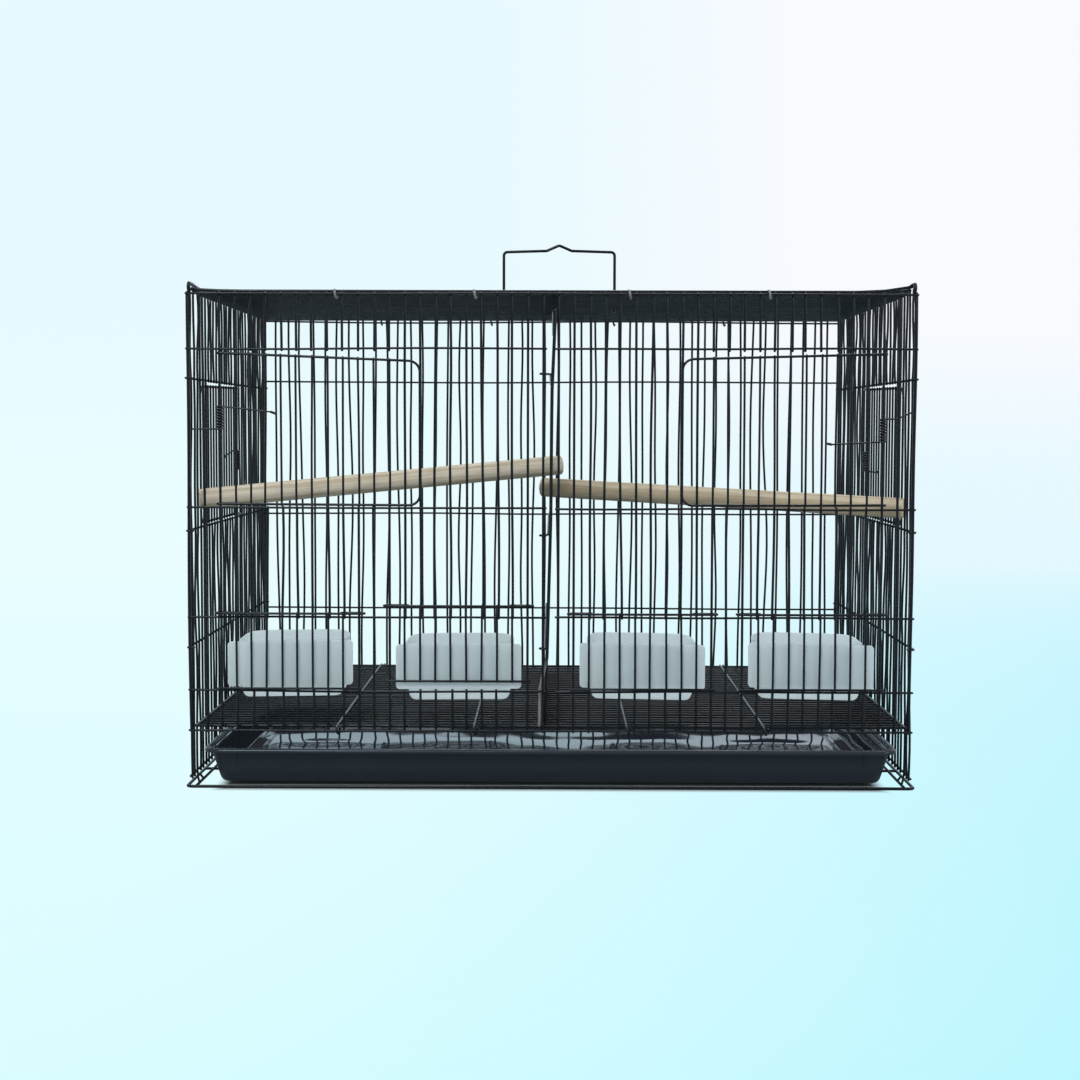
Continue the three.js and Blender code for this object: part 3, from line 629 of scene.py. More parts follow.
# Bowed wire: x + b sin(pi t) + c sin(2 pi t), with t from 0 to 1 between one weld and the next
def bowed(path, welds, draw):
    p = sidePanel
    level = np.linspace(path[0, 2], path[-1, 2], int((path[-1, 2] - path[0, 2]) / p["step"]) + 2)
    span = np.clip(np.searchsorted(welds, level) - 1, 0, len(welds) - 2)
    t = np.clip((level - welds[span]) / (welds[span + 1] - welds[span]), 0, 1)
    b, c = draw.normal(0, 1, (2, len(welds) - 1)) * np.array(p["bow"])[:, None]
    shift = b[span] * np.sin(np.pi * t) + c[span] * np.sin(2 * np.pi * t)
    points = np.stack([np.interp(level, path[:, 2], path[:, k]) for k in range(3)], axis=-1)
    return points + np.clip(shift, -p["mostBow"], p["mostBow"])[:, None] * eastward


# The rod along the top, from its back end to the curl in front
def topRodPath(hand):
    p, rod = sidePanel, sidePanel["topRod"]
    x, top, front = hand * (grid["sideX"] - rod["inset"]), p["top"], grid["frontY"]
    centre = (x, front - rod["ahead"], top + rod["rise"] - rod["curl"])
    curl = arc(centre, rod["curl"], 90, rod["curlEnd"], -inward, upward, 12)
    climb = [(x, front + behind, top + share * rod["rise"]) for behind, share in rod["climb"]]
    return np.vstack([[(x, grid["backY"] + rod["end"], top), (x, 0, top)], climb, curl])


# `hand` is -1 for the left panel and +1 for the right one.
def sidePieces(hand):
    p, parts = sidePanel, []
    draw = np.random.default_rng(p["seed"] + hand)
    welds = np.array([p["bottom"], *sorted(p["rods"]), p["top"]], float)
    x, outward = hand * grid["sideX"], hand * eastward
    opening = [(*p["nest"]["wires"], p["nest"]["low"], p["nest"]["high"])]
    for index in range(grid["sideWires"]):
        y, sway = insideY(index, p["borderInset"]), 0 if index in p["still"] else p["sway"]
        for low, high in wireSpans(index, p["bottom"] - gauge["overrun"], p["top"] - p["short"], opening):
            path = wavyRun((x, y, low), (x, y, high), sway, inward)
            if index not in p["straight"]:
                path = bowed(path, welds, draw)
            parts.append(wire(path, p["radius"], eastward, 8))
            for level in [*p["rods"], p["bottom"]]:
                if low <= level <= high:
                    parts.append(weld((x, np.interp(level, path[:, 2], path[:, 1]), level), outward))
    for level in p["rods"]:
        # the ends turn round the corner wires of the front and back panels
        front, back = [arc((hand * cornerX, wireY, level), gauge["hook"], 0, p["hookTurn"], outward,
                           side * inward, 13) for wireY, side in ((grid["frontY"], -1), (grid["backY"], 1))]
        parts.append(wire(np.vstack([front[::-1], back]), gauge["rod"], upward))
    rod = p["bottomRod"]
    inset = p["borderInset"] - rod["end"]
    ends = [(hand * (grid["sideX"] + rod["offset"]), wireY, p["bottom"])
            for wireY in (grid["frontY"] + inset, grid["backY"] - inset)]
    parts.append(wavyRod(*ends, rod["sway"], upward, eastward))
    parts.append(wire(topRodPath(hand), p["topRod"]["radius"], eastward))
    return parts


for name, hand in (("left_side", -1), ("right_side", 1)):
    meshObject(f"{name}_wires", sidePieces(hand), blackWire, "cage_body", [f"{name}_panel"])
print("side panels are in")


flatGrille = {
    # radius of the top panel's and the grate's hooks, the angle where they end, and how far their
    # tips lie beside their starts
    "top": (3.3, -130, 1.9), "floor": (2.4, -290, 3.4),
    "hookStart": 85,
    "sway": 0.5,
    "still": {"top": [15], "floor": []},
    "edge": 295.4, "wireEnd": 0.8,  # middle of the edge rods, and how far the wires run past it
    "front": -194.0, "back": 194.7,  # ends of the edge rods
    "crossX": [-177.8, -63.5, 63.5, 177.8],
    "borderInset": 6.0, "borderRise": 1.2, "borderRadius": 1.3,
    "slope": 9.0,  # length over which a cross wire comes up to the rod it hooks
    # the top panel's front corners are bent up: from this far out, over this depth, and how high
    # on the left and on the right
    "cornerFrom": 255.0, "cornerDepth": 45.0, "cornerRise": (1.5, 5.0),
    "paintedHighlight": 0.9, "paintedHighlightBehind": 1.5,  # painted highlight on its front, to this far behind the rod it hooks
}
frontRodY = grid["frontY"] - gauge["rodOffset"]
backRodY = grid["backY"] + gauge["rodOffset"]


# Many wires from side to side at level z, and cross wires over them whose ends come to the rods
# in front and behind, at levels frontZ and backZ, and turn round them
def grillePieces(which, z, frontZ, backZ):
    p, parts = flatGrille, []
    radius, endAngle, aside = p[which]
    reach, crossZ = p["edge"] + p["wireEnd"], z + gauge["rodOffset"]
    for index in range(grid["sideWires"]):
        y, border = insideY(index, p["borderInset"]), index in (0, grid["sideWires"] - 1)
        sway = 0 if index in p["still"][which] or border else p["sway"]
        level = z + (p["borderRise"] if border else 0)
        path = wavyRun((-reach, y, level), (reach, y, level), sway, inward)
        parts.append(wire(path, p["borderRadius"] if border else gauge["wire"], upward, 8))
        for x in [-p["edge"], *p["crossX"], p["edge"]]:
            parts.append(weld((x, np.interp(x, path[:, 0], path[:, 1]), z), upward))
    for x in (-p["edge"], p["edge"]):
        path = [(x, y, crossZ) for y in (p["front"], p["front"] + p["cornerDepth"], 0, p["back"])]
        parts.append(wire(path, gauge["rod"], upward))
    for x in p["crossX"]:
        ends = []
        for rodY, rodZ, side in ((frontRodY, frontZ, -1), (backRodY, backZ, 1)):
            turn = arc((x, rodY, rodZ), radius, p["hookStart"], endAngle, side * inward, upward, 19)
            turn[:, 0] += aside * np.linspace(0, 1, len(turn))
            ends.append(np.vstack([[(x, rodY - side * p["slope"], crossZ)], turn]))
        path = np.vstack([ends[0][::-1], [(x, 0, crossZ)], ends[1]])
        parts.append(wire(path, gauge["rod"], eastward))
    return parts


# Front corners bent up: z + h u^2 v^2, with u growing from 0 to 1 along the corner's width and v
# along its depth
def withRaisedCorners(points):
    p = flatGrille
    u = np.clip((np.abs(points[:, 0]) - p["cornerFrom"]) / (p["edge"] - p["cornerFrom"]), 0, 1)
    v = np.clip((p["front"] + p["cornerDepth"] - points[:, 1]) / p["cornerDepth"], 0, 1)
    rise = np.where(points[:, 0] < 0, *p["cornerRise"]) * u ** 2 * v ** 2
    return points + rise[:, None] * upward


topParts = grillePieces("top", grid["topZ"], frontPanel["top"], backPanel["top"])
topParts = [(withRaisedCorners(points), faces) for points, faces in topParts]
topWires = meshObject("top_wires", topParts, blackWire, "cage_body", ["top_panel"])
# painted highlight on the hooks and wires over the front top rod
inFront = pointsOf(topParts)[:, 1] < frontRodY + flatGrille["paintedHighlightBehind"]
mark(topWires, "paintedHighlight", flatGrille["paintedHighlight"] * inFront)
floorParts = grillePieces("floor", grid["floorZ"], frontPanel["bottom"], backPanel["floorRod"])
meshObject("floor_wires", floorParts, blackWire, "cage_body", ["floor_grate"])

divider = {
    "sway": 0.45,
    # it isn't upright
    "leanLevels": [54, 120, 190, 228, 329, 396], "leanX": [-4.6, -2.6, -0.9, 0.0, 0.65, 3.4],
    # the front wire's foot is bent aside, behind the front panel's wires, and carries a painted highlight
    "footLevels": [54, 84, 110], "footX": [-4.4, -4.9, 0.0], "footY": [3.0, 3.0, 0.0],
    "footPoints": [70, 84, 97, 110], "footEnd": 112,  # levels of its points, and where the even wire goes on
    "paintedHighlightBelow": 104, "paintedHighlightFade": 6,
    "frontRadius": 1.4,
    "top": 396, "bottom": 54,
    "rods": [345, 212, 118],
    "rodEnd": 1.6,
    "still": [11, 13],
    # the cross rods bend towards a wire of the front panel between these distances and hook it
    "jog": 12.0, "jogEnd": 4.0, "jogCorner": 4, "hookWire": 23, "hookTurn": 225,
}


# x of the divider at a level, read between the points given
def leaning(level):
    return np.interp(level, divider["leanLevels"], divider["leanX"])


def dividerPieces():
    p, parts = divider, []
    last = grid["sideWires"] - 2
    low, high = pastRods(p)
    for index in range(last + 1):
        y, sway = sideY(index), 0 if index in p["still"] else p["sway"]
        path = wavyRun((0, y, low), (0, y, high), sway, inward)
        path[:, 0] = leaning(path[:, 2])
        if index == 0:
            foot = np.array([[0, path[0, 1], level] for level in (low, *p["footPoints"])])
            foot[:, 0] = leaning(foot[:, 2]) + np.interp(foot[:, 2], p["footLevels"], p["footX"])
            foot[:, 1] += np.interp(foot[:, 2], p["footLevels"], p["footY"])
            path = np.vstack([foot, path[path[:, 2] > p["footEnd"]]])
        parts.append(wire(path, gauge["wire"] if index else p["frontRadius"], eastward, 8))
        for level in [p["top"], *p["rods"], p["bottom"]]:
            parts.append(weld((leaning(level), np.interp(level, path[:, 2], path[:, 1]), level), -eastward))
    front, back = sideY(0) - p["rodEnd"], sideY(last) + p["rodEnd"]
    for level in (p["top"], p["bottom"]):
        x = leaning(level) - gauge["rodOffset"]
        parts.append(wire([(x, front, level), (x, 0, level), (x, back, level)], gauge["rod"], upward))
    hookX, wireY = frontX(p["hookWire"]), grid["frontY"]
    for level in p["rods"]:
        x = leaning(level) - gauge["rodOffset"]
        turn = arc((hookX, wireY, level), gauge["hook"], 0, p["hookTurn"], eastward, -inward, 15)
        lead = rounded([(x, back, level), (x, 0, level), (x, wireY + p["jog"], level),
                        (hookX + gauge["hook"], wireY + p["jogEnd"], level), turn[0]], p["jogCorner"])
        parts.append(wire(np.vstack([lead[:-1], turn]), gauge["rod"], upward))
    return parts


dividerParts = dividerPieces()
dividerWires = meshObject("divider_wires", dividerParts, blackWire, "cage_body", ["divider"])
# painted highlight on the front wire's foot, fading out above the given level
paintedHighlight = np.clip((divider["paintedHighlightBelow"] - pointsOf(dividerParts)[:, 2]) / divider["paintedHighlightFade"], 0, 1)
paintedHighlight[len(dividerParts[0][0]):] = 0  # only the front wire
mark(dividerWires, "paintedHighlight", paintedHighlight)
print("top, floor and divider are in")


baseFrame = {
    "radius": 1.35, "inner": 0.9,  # of the ring, and the rails inside it as a share of it
    "above": 0.02,
    "reach": 303.05,  # outer side rails
    "innerReach": 295.78, "innerSway": 0.2, "innerEnd": 0.4,
    "corner": 5.0,
    "runners": [-117.754, 118.466],
    "weld": (1.3, 1.9, 1.2),
    # short hairpins that lift the side panels off the rails: where they stand, and their points
    # along the rail, outwards and in height
    "postY": [-171.094, 171.806],
    "post": [(-9, 0, 0), (-5, 2.2, 6.0), (0, 3.1, 7.0), (5, 2.2, 6.0), (9, 0, 0)], "postCorner": 4,
}


def basePieces():
    p, parts = baseFrame, []
    front, back = grid["frontY"], grid["backY"]
    reach, innerReach, radius = p["reach"], p["innerReach"], p["radius"] * p["inner"]
    z = p["radius"] + p["above"]
    ring = [(-reach, 0, z), (-reach, front, z), (reach, front, z), (reach, back, z), (-reach, back, z),
            (-reach, 0, z)]
    parts.append(wire(rounded(ring, p["corner"], 9), p["radius"], upward, 12))
    for side in (-1, 1):
        x = side * innerReach
        rail = wavyRun((x, front + p["innerEnd"], z), (x, back - p["innerEnd"], z), p["innerSway"], eastward)
        parts.append(wire(rail, radius, upward))
        for y in p["postY"]:
            post = [(x + side * out, y + along, max(z, height)) for along, out, height in p["post"]]
            parts.append(wire(rounded(post, p["postCorner"]), gauge["rod"], upward))
    for y in p["runners"]:
        parts.append(wire([(-reach, y, z), (0, y, z), (reach, y, z)], radius, upward))
    crossings = [(x, y) for y in p["runners"] for x in (-reach, -innerReach, innerReach, reach)]
    crossings += [(x, y) for y in (front, back) for x in (-innerReach, innerReach)]
    return parts + [bead((x, y, z), p["weld"]) for x, y in crossings]


meshObject("base_wires", basePieces(), blackWire, "cage_body", ["base_frame"])
print("base frame is in")


tray = {
    "rimHalf": 290.5,
    "front": -197.994, "back": 194.206,
    "corner": 16.0, "cornerShare": 0.55, "leastCorner": 5,  # radius at the rim, less this share of the inset
    "points": 160,
    # outline of the section from the outer foot, up the outside, over the lip and down to the
    # raised floor: distance in from the rim, and level
    "section": [(16.6, 3.1), (15.0, 3.3), (13.6, 4.4), (12.4, 6.4), (11.5, 9.2), (9.6, 15.6), (7.8, 22.0),
                (6.2, 28.4), (5.2, 29.6), (1.6, 29.6), (0.7, 29.3), (0.1, 29.9), (0.0, 31.2), (0.5, 32.3),
                (1.7, 32.95), (5.4, 33.0), (6.4, 32.5), (7.0, 31.4), (11.0, 18.0), (14.2, 8.4), (15.6, 7.1),
                (18.0, 6.7), (60.0, 6.7)],
    # how polished the skin is at each point of the section
    "polish": [0.0] * 11 + [0.55] * 5 + [1.0] * 7,
    # small ribs beside the floor, with levels and widths from the outer end to the inner one
    "rib": {"pitch": 5.2, "width": 1.5, "from": 15.4, "to": 24.5, "start": -172.0, "end": 0.0,
            "levels": (8.3, 7.4, 6.6), "widths": (0.6, 1.1, 0.8)},
    "floor": {
        "halfX": 266, "front": -172, "back": 168, "level": 6.88,
        "columns": 241, "rows": 121,
        # height, distance from the middle, reach across, place from front to back, reach along
        "swellings": [(0.95, 207, 30, -17, 16), (0.65, 85, 42, -4, 28), (0.3, 0, 150, -8, 30)],
        # lengths of the slow waves, the height of one of length `unitWave`, and how dense they are
        # from front to back
        "waves": [31, 43, 58, 76], "waveHeight": 0.035, "unitWave": 40, "depthShare": 0.6, "seed": 7,
        "evenEdge": 14, "dipEdge": 4, "dip": 0.3,  # widths of the edge where it evens out and dips
    },
    # mould marks on the outside of the front wall: distances behind the front, and levels
    "mould": {"x": 262.0, "ends": [(5.9, 28.0), (8.6, 18.0)], "radius": 0.45},
}


# Rounded rectangle resampled along its outline, most of it in the corners: a straight run counts
# for 0.12 of its length
def roundedOutline(halfX, halfY, midY, radius, count):
    radius = min(radius, halfX * 0.98, halfY * 0.98)
    quarter = np.linspace(0, np.pi / 2, 13)
    pieces = []
    for k, (sx, sy) in enumerate([(1, -1), (1, 1), (-1, 1), (-1, -1)]):
        turn = quarter + (k - 1) * np.pi / 2
        pieces.append(np.stack([sx * (halfX - radius) + radius * np.cos(turn),
                                midY + sy * (halfY - radius) + radius * np.sin(turn)], axis=-1))
    outline = np.vstack(pieces + [pieces[0][:1]])
    steps = np.linalg.norm(np.diff(outline, axis=0), axis=1)
    straight = np.arange(len(steps)) % len(quarter) == len(quarter) - 1
    length = np.concatenate([[0], np.cumsum(steps)])
    counted = np.concatenate([[0], np.cumsum(np.where(straight, 0.12, 1.0) * steps + 1e-9)])
    at = np.interp(np.linspace(0, counted[-1], count, endpoint=False), counted, length)
    return np.stack([np.interp(at, length, outline[:, 0]), np.interp(at, length, outline[:, 1])], axis=-1)


# The floor isn't quite flat: z = level + sum of h exp(-((|x| - a) / b)^2 - ((y - c) / d)^2) + slow
# seeded waves, and its edge dips into the rest of the tray.
def trayFloor():
    p = tray["floor"]
    ripples = np.random.default_rng(p["seed"])
    x, y = np.meshgrid(np.linspace(-p["halfX"], p["halfX"], p["columns"]),
                       np.linspace(p["front"], p["back"], p["rows"]), indexing="ij")
    swell = np.zeros_like(x)
    for height, a, b, c, d in p["swellings"]:
        swell += height * np.exp(-((np.abs(x) - a) / b) ** 2 - ((y - c) / d) ** 2)
    for length in p["waves"]:
        turn, phase = ripples.uniform(0, 2 * np.pi, 2)
        run = x * np.cos(turn) + p["depthShare"] * y * np.sin(turn)
        swell += p["waveHeight"] * length / p["unitWave"] * np.sin(2 * np.pi * run / length + phase)
    edge = np.minimum(p["halfX"] - np.abs(x), np.minimum(y - p["front"], p["back"] - y))
    dip = p["dip"] * (1 - np.clip(edge / p["dipEdge"], 0, 1))
    z = p["level"] + swell * np.clip(edge / p["evenEdge"], 0, 1) - dip
    return np.stack([x, y, z], axis=-1).reshape(-1, 3), [sheetFaces(p["columns"], p["rows"])]


def trayPieces():
    p, rib, mould = tray, tray["rib"], tray["mould"]
    halfY, midY = (p["back"] - p["front"]) / 2, (p["back"] + p["front"]) / 2
    rings = []
    for inset, level in p["section"]:
        corner = max(p["corner"] - inset * p["cornerShare"], p["leastCorner"])
        flat = roundedOutline(p["rimHalf"] - inset, halfY - inset, midY, corner, p["points"])
        rings.append(np.column_stack([flat, np.full(len(flat), level)]))
    parts = [stacked(rings), trayFloor()]
    shine = [np.repeat(p["polish"], p["points"]), np.ones(len(parts[1][0]))]
    for side in (-1, 1):
        a, b = side * (p["rimHalf"] - rib["from"]), side * (p["rimHalf"] - rib["to"])
        for y in np.arange(rib["start"], rib["end"], rib["pitch"]):
            path = [(x, y, level) for x, level in zip((a, (a + b) / 2, b), rib["levels"])]
            parts.append(carried(path, circle(rib["width"] / 2, 6), upward, rib["widths"]))
    for x in (-mould["x"], mould["x"]):
        path = [(x, p["front"] + behind, level) for behind, level in mould["ends"]]
        parts.append(carried(path, circle(mould["radius"], 6), inward))
    shine += [np.zeros(len(points)) for points, _ in parts[2:]]
    return parts, np.concatenate(shine)


trayParts, trayShine = trayPieces()
trayObject = meshObject("tray_body", trayParts, trayPlastic, "pull_tray", ["tray"], sharp=50)
mark(trayObject, "shine", trayShine)
print("tray is in")


handle = {
    "radius": 1.3,
    "middle": 7.0, "half": 51.0,
    "pivotY": -5.994, "pivotZ": 411.087,
    "hook": 3.0,
    "level": 462.2,  # at the corners
    "rise": 1.2,  # the bar climbs by this much towards the peak
    "peak": 5.0, "peakHalf": 11.5,
    "corner": 3.4,
}


def handlePieces():
    p = handle
    y, high = p["pivotY"] - p["hook"], p["level"] + p["rise"]
    bar = [(p["middle"] - p["half"], y, p["level"]), (p["middle"] - p["peakHalf"], y, high),
           (p["middle"], y, high + p["peak"]),
           (p["middle"] + p["peakHalf"], y, high), (p["middle"] + p["half"], y, p["level"])]
    # each hook passes under its wire: its angle runs from the leg's side through below
    left, right = [arc((p["middle"] + side * p["half"], p["pivotY"], p["pivotZ"]), p["hook"], 180, 370,
                       inward, upward, 14) for side in (-1, 1)]
    middle = rounded([left[0], *bar, right[0]], p["corner"], 8)
    # `up` is between two axes, so no run is parallel to it
    return [wire(np.vstack([left[:0:-1], middle, right[1:]]), p["radius"], inward + 0.6 * eastward, 14)]


meshObject("handle_wire", handlePieces(), blackWire, "bail", ["handle"])
print("handle is in")


doors = {
    "radius": 1.05,
    "wires": 12,
    "inset": 3.5,  # the door's rods lie this far inside the doorway's rods
    "corner": 9.0,
    "lap": 1,  # pitches past the doorway's far wire
    "eyeLeg": 12.0,  # the frame's ends run back beside themselves by this much from the eyes
    "plane": 0.6,  # the door's wires stand this far outside the panel's
    "sway": 0.3,
    "overrun": 0.8,
    "weld": (1.1, 0.5, 1.1), "weldPlane": 1.6,
}
# `along` points to the door's free edge, `into` into the cage, and `flip` is -1 where the spring is
# turned over. `hang` is how far the top and bottom rods hang down at the free edge, and `drops`
# how much lower than the coil's ends the spring's long and short arms end.
doorPlaces = [
    {"body": "front_door_left", "node": "left_front_door", "hinge": (-273.05, grid["frontY"], 299.5),
     "along": (1, 0, 0), "into": (0, 1, 0), "flip": 1, "height": 131, "hang": (6.5, 0.8),
     "springLevel": 308.5, "drops": (5.0, 0.0)},
    {"body": "front_door_right", "node": "right_front_door", "hinge": (273.05, grid["frontY"], 299.5),
     "along": (-1, 0, 0), "into": (0, 1, 0), "flip": -1, "height": 131, "hang": (4.5, 0.6),
     "springLevel": 299.2, "drops": (2.4, -5.0)},
    {"body": "nest_door_left", "node": "left_nest_door", "hinge": (-grid["sideX"], 32.106, 278.0),
     "along": (0, -1, 0), "into": (1, 0, 0), "flip": 1, "height": 126, "hang": (2.0, 0.5),
     "springLevel": 269.5, "drops": (5.0, 0.0)},
    {"body": "nest_door_right", "node": "right_nest_door", "hinge": (grid["sideX"], 32.106, 278.0),
     "along": (0, -1, 0), "into": (-1, 0, 0), "flip": -1, "height": 126, "hang": (2.0, 0.5),
     "springLevel": 269.5, "drops": (0.0, 1.0)},
]


# Carries local points (along, into, above) to their place
def placedAt(points, origin, along, into, above):
    return np.asarray(origin, float) + np.asarray(points, float) @ np.array([along, into, above], float)


def doorPieces(place):
    p, hook = doors, gauge["hook"]
    half, free = place["height"] / 2 - p["inset"], (p["wires"] + p["lap"]) * grid["pitch"]
    into = np.array(place["into"], float)
    topFall, bottomFall = place["hang"]

    def placed(points, origin=place["hinge"]):
        return placedAt(points, origin, place["along"], into, upward)

    def fall(x, level):
        share = (level + half) / (2 * half)
        return -(bottomFall + share * (topFall - bottomFall)) * np.clip(x / free, 0, 1)

    def eye(level):
        turn = arc((0, 0, level), hook, 90, 270, eastward, inward, 11)
        return np.vstack([[(p["eyeLeg"], hook, level)], turn])

    frameLine = np.vstack([eye(half)[-1:], [(free, -hook, half), (free, -hook, -half)], eye(-half)[-1:]])
    path = np.vstack([eye(half)[:-1], rounded(frameLine, p["corner"], 9), eye(-half)[:-1][::-1]])
    path = path + fall(path[:, 0], path[:, 2])[:, None] * upward
    # `up` leans out of the eyes' plane and out of the frame's, so no run is parallel to it
    parts = [wire(placed(path), p["radius"], into + 0.6 * upward, 12)]
    for index in range(1, p["wires"]):
        x = index * grid["pitch"]
        low, high = -half + fall(x, -half), half + fall(x, half)
        ends = [(x, -p["plane"], low - p["overrun"]), (x, -p["plane"], high + p["overrun"])]
        run = wavyRun(*ends, p["sway"], eastward)
        parts.append(wire(placed(run), gauge["rod"], into, 8))
        for level, end in ((low, 0), (high, -1)):
            spot = placed([(run[end, 0], -p["weldPlane"], level)])[0]
            parts.append(bead(spot, np.abs(placed([p["weld"]], (0, 0, 0))[0])))
    return parts


spring = {
    "radius": 2.85,
    "wire": 0.72,
    "turns": 8, "pointsPerTurn": 20,
    "height": 18.8,
    # lengths of the arms, and how far outside the coil they end
    "longArm": 46.0, "longOut": 0.2,
    "shortArm": 22.0, "shortOut": 0.1,
    "longPoints": [0.3, 0.65, 0.93, 1.0],  # shares of the long arm
    "tip": 0.9, "tipWidth": 1.5,  # its last run bends down by this much and is this much wider
    "held": 2.0,  # length of the coil at each end
}


# Torsion spring round the hinge wire: R(t) = (r cos t, r sin t, h (t / T - 1/2)), with a straight
# arm off each end: the lower one away from the door and the upper one over it.
def springPieces(origin, place):
    p, half = spring, spring["height"] / 2
    above = place["flip"] * upward
    # local up is turned over on the right-hand side
    longDrop, shortDrop = (drop * place["flip"] for drop in place["drops"])
    share = np.linspace(0, 1, p["turns"] * p["pointsPerTurn"] + 1)
    turn = 2 * np.pi * p["turns"] * share - np.pi / 2
    coil = np.column_stack([p["radius"] * np.cos(turn), p["radius"] * np.sin(turn),
                            p["height"] * (share - 0.5)])
    lower = [(-p["shortArm"], -p["radius"] - p["shortOut"], -half - shortDrop),
             (-p["shortArm"] / 2, -p["radius"] - p["shortOut"] / 2, -half)]
    share = np.array(p["longPoints"])[:, None]
    upper = np.hstack([p["longArm"] * share, -p["radius"] - p["longOut"] * share,
                       half - longDrop * share - p["tip"] * (share == 1)])
    path = placedAt(np.vstack([lower, coil, upper]), origin, place["along"], place["into"], above)
    return [wire(path, p["wire"], above, 8), wire(path[-2:], p["wire"] * p["tipWidth"], above, 8)]


for place in doorPlaces:
    body, node, flip, level = place["body"], place["node"], place["flip"], place["springLevel"]
    meshObject(f"{node}_wires", doorPieces(place), blackWire, body, [node])
    springNode = node.replace("door", "spring")
    seat = (*place["hinge"][:2], level)
    coil = meshObject(f"{springNode}_coil", springPieces(seat, place), springWire, None, [springNode])
    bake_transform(coil)
print("doors and springs are in")


feeder = {
    "radius": 1.0,
    "wires": 9,  # width of the hatch in pitches
    "plane": 4.7,  # in front of the panel's wires
    # the upper wire's ends turn round the panel's wires: how far behind them, how far past the
    # hatch, and how long they are
    "behind": 2.6, "shift": 1.0, "leg": 16.0,
    "top": 146.9, "bottom": 84.5,
    "lap": 2.0,  # the lower wire runs past the hatch
    "bar": {"behind": 0.3, "overrun": 0.4, "sway": 0.3},  # behind the two wires, and past them
    "weld": (1.5, 0.9, 1.2),
    "raised": [0, 6.5, 0, 0],
}
hatchWires = sorted(pair for wires in frontPanel["hatch"]["wires"] for pair in mirroredWires(*wires))
hatchX = [(frontX(a) + frontX(b)) / 2 for a, b in hatchWires]


def feederPieces(x, lift):
    p, bar = feeder, feeder["bar"]
    y, guide = grid["frontY"], p["wires"] * grid["pitch"] / 2
    top, bottom, reach = p["top"] + lift, p["bottom"] + lift, guide + p["shift"]
    loops = []
    for side in (-1, 1):
        centre = (x + side * reach, y + (p["behind"] - p["plane"]) / 2, top)
        turn = arc(centre, (p["plane"] + p["behind"]) / 2, 90, -90, side * eastward, inward, 11)
        loops.append(np.vstack([[(x + side * (reach - p["leg"]), y + p["behind"], top)], turn]))
    upper = np.vstack([loops[0], [(x, y - p["plane"], top)], loops[1][::-1]])
    lower = [(at, y - p["plane"], bottom) for at in (x - guide - p["lap"], x, x + guide + p["lap"])]
    parts = [wire(path, p["radius"], upward, 12) for path in (upper, lower)]
    barY = y - p["plane"] + bar["behind"]
    for index in range(1, p["wires"]):
        at = x + index * grid["pitch"] - guide
        ends = [(at, barY, bottom - bar["overrun"]), (at, barY, top + bar["overrun"])]
        run = wavyRun(*ends, bar["sway"], eastward)
        parts.append(wire(run, gauge["rod"], inward, 8))
        for level, end in ((bottom, 0), (top, -1)):
            parts.append(bead((run[end, 0], y - p["plane"], level), p["weld"]))
    return parts


for k, x in enumerate(hatchX):
    meshObject(f"feeder_wires_{k + 1}", feederPieces(x, feeder["raised"][k]), blackWire, f"hatch_{k + 1}",
               [f"feeder_door_{k + 1}"])
print("feeder doors are in")


cup = {
    "halfX": 45.4, "halfY": 25.0, "midY": 27.85,
    "corner": 12.0, "leastCorner": 3,
    "top": 121.0, "bottom": 73.0,
    # the rim's rise behind, its half width, and where it starts and over what depth, in shares of
    # the half depth
    "arch": 3.0, "archHalf": 48.0, "archStart": 1.45, "archDepth": 0.5,
    "wall": 1.5,
    "points": 120,
    # outside of the bowl: distance in from the rim, and share of the height
    "outside": [(9.0, 0.0), (6.4, 0.006), (4.6, 0.035), (3.4, 0.09), (2.6, 0.18), (1.6, 0.45), (0.7, 0.8),
                (0.25, 0.97)],
    "lip": [(0.35, 0.0), (0.85, 0.35), (1.5, 0.0)],  # distance in from the rim, and height over it
    "insideTop": 2,  # the inside's even part ends this far below the rim
    # `edge` is the plate's rounded edge: inset, and depth from its face
    "plate": {"halfX": 52.0, "bottom": 83.6, "front": -2.1, "back": -0.25, "corner": 3.2, "points": 64,
              "edge": [(0.6, 0.0), (0.12, 0.2), (0.0, 0.55)]},
    # the neck joins them: depth in the plate, and share of the bowl's wall
    "neck": {"half": 30.0, "inset": 0.8, "corner": 2.0, "points": 48, "plate": 0.5, "wall": 0.7},
    "lift": [3.0, 0.6, 1.2, 1.5],
    "tilt": [-1.0, -0.4, 1.0, 1.3],  # degrees, down to the right
}


# The bowl's rim rises behind: by h sqrt(1 - (x / w)^4) on the back wall, fading out at its ends
def rimRise(flat):
    p = cup
    arch = p["arch"] * np.sqrt(np.clip(1 - (flat[:, 0] / p["archHalf"]) ** 4, 0, 1))
    frontY, halfY = p["midY"] - p["halfY"], p["halfY"]
    behind = np.clip((flat[:, 1] - frontY - halfY * p["archStart"]) / (halfY * p["archDepth"]), 0, 1)
    return arch * behind ** 2 * (3 - 2 * behind)


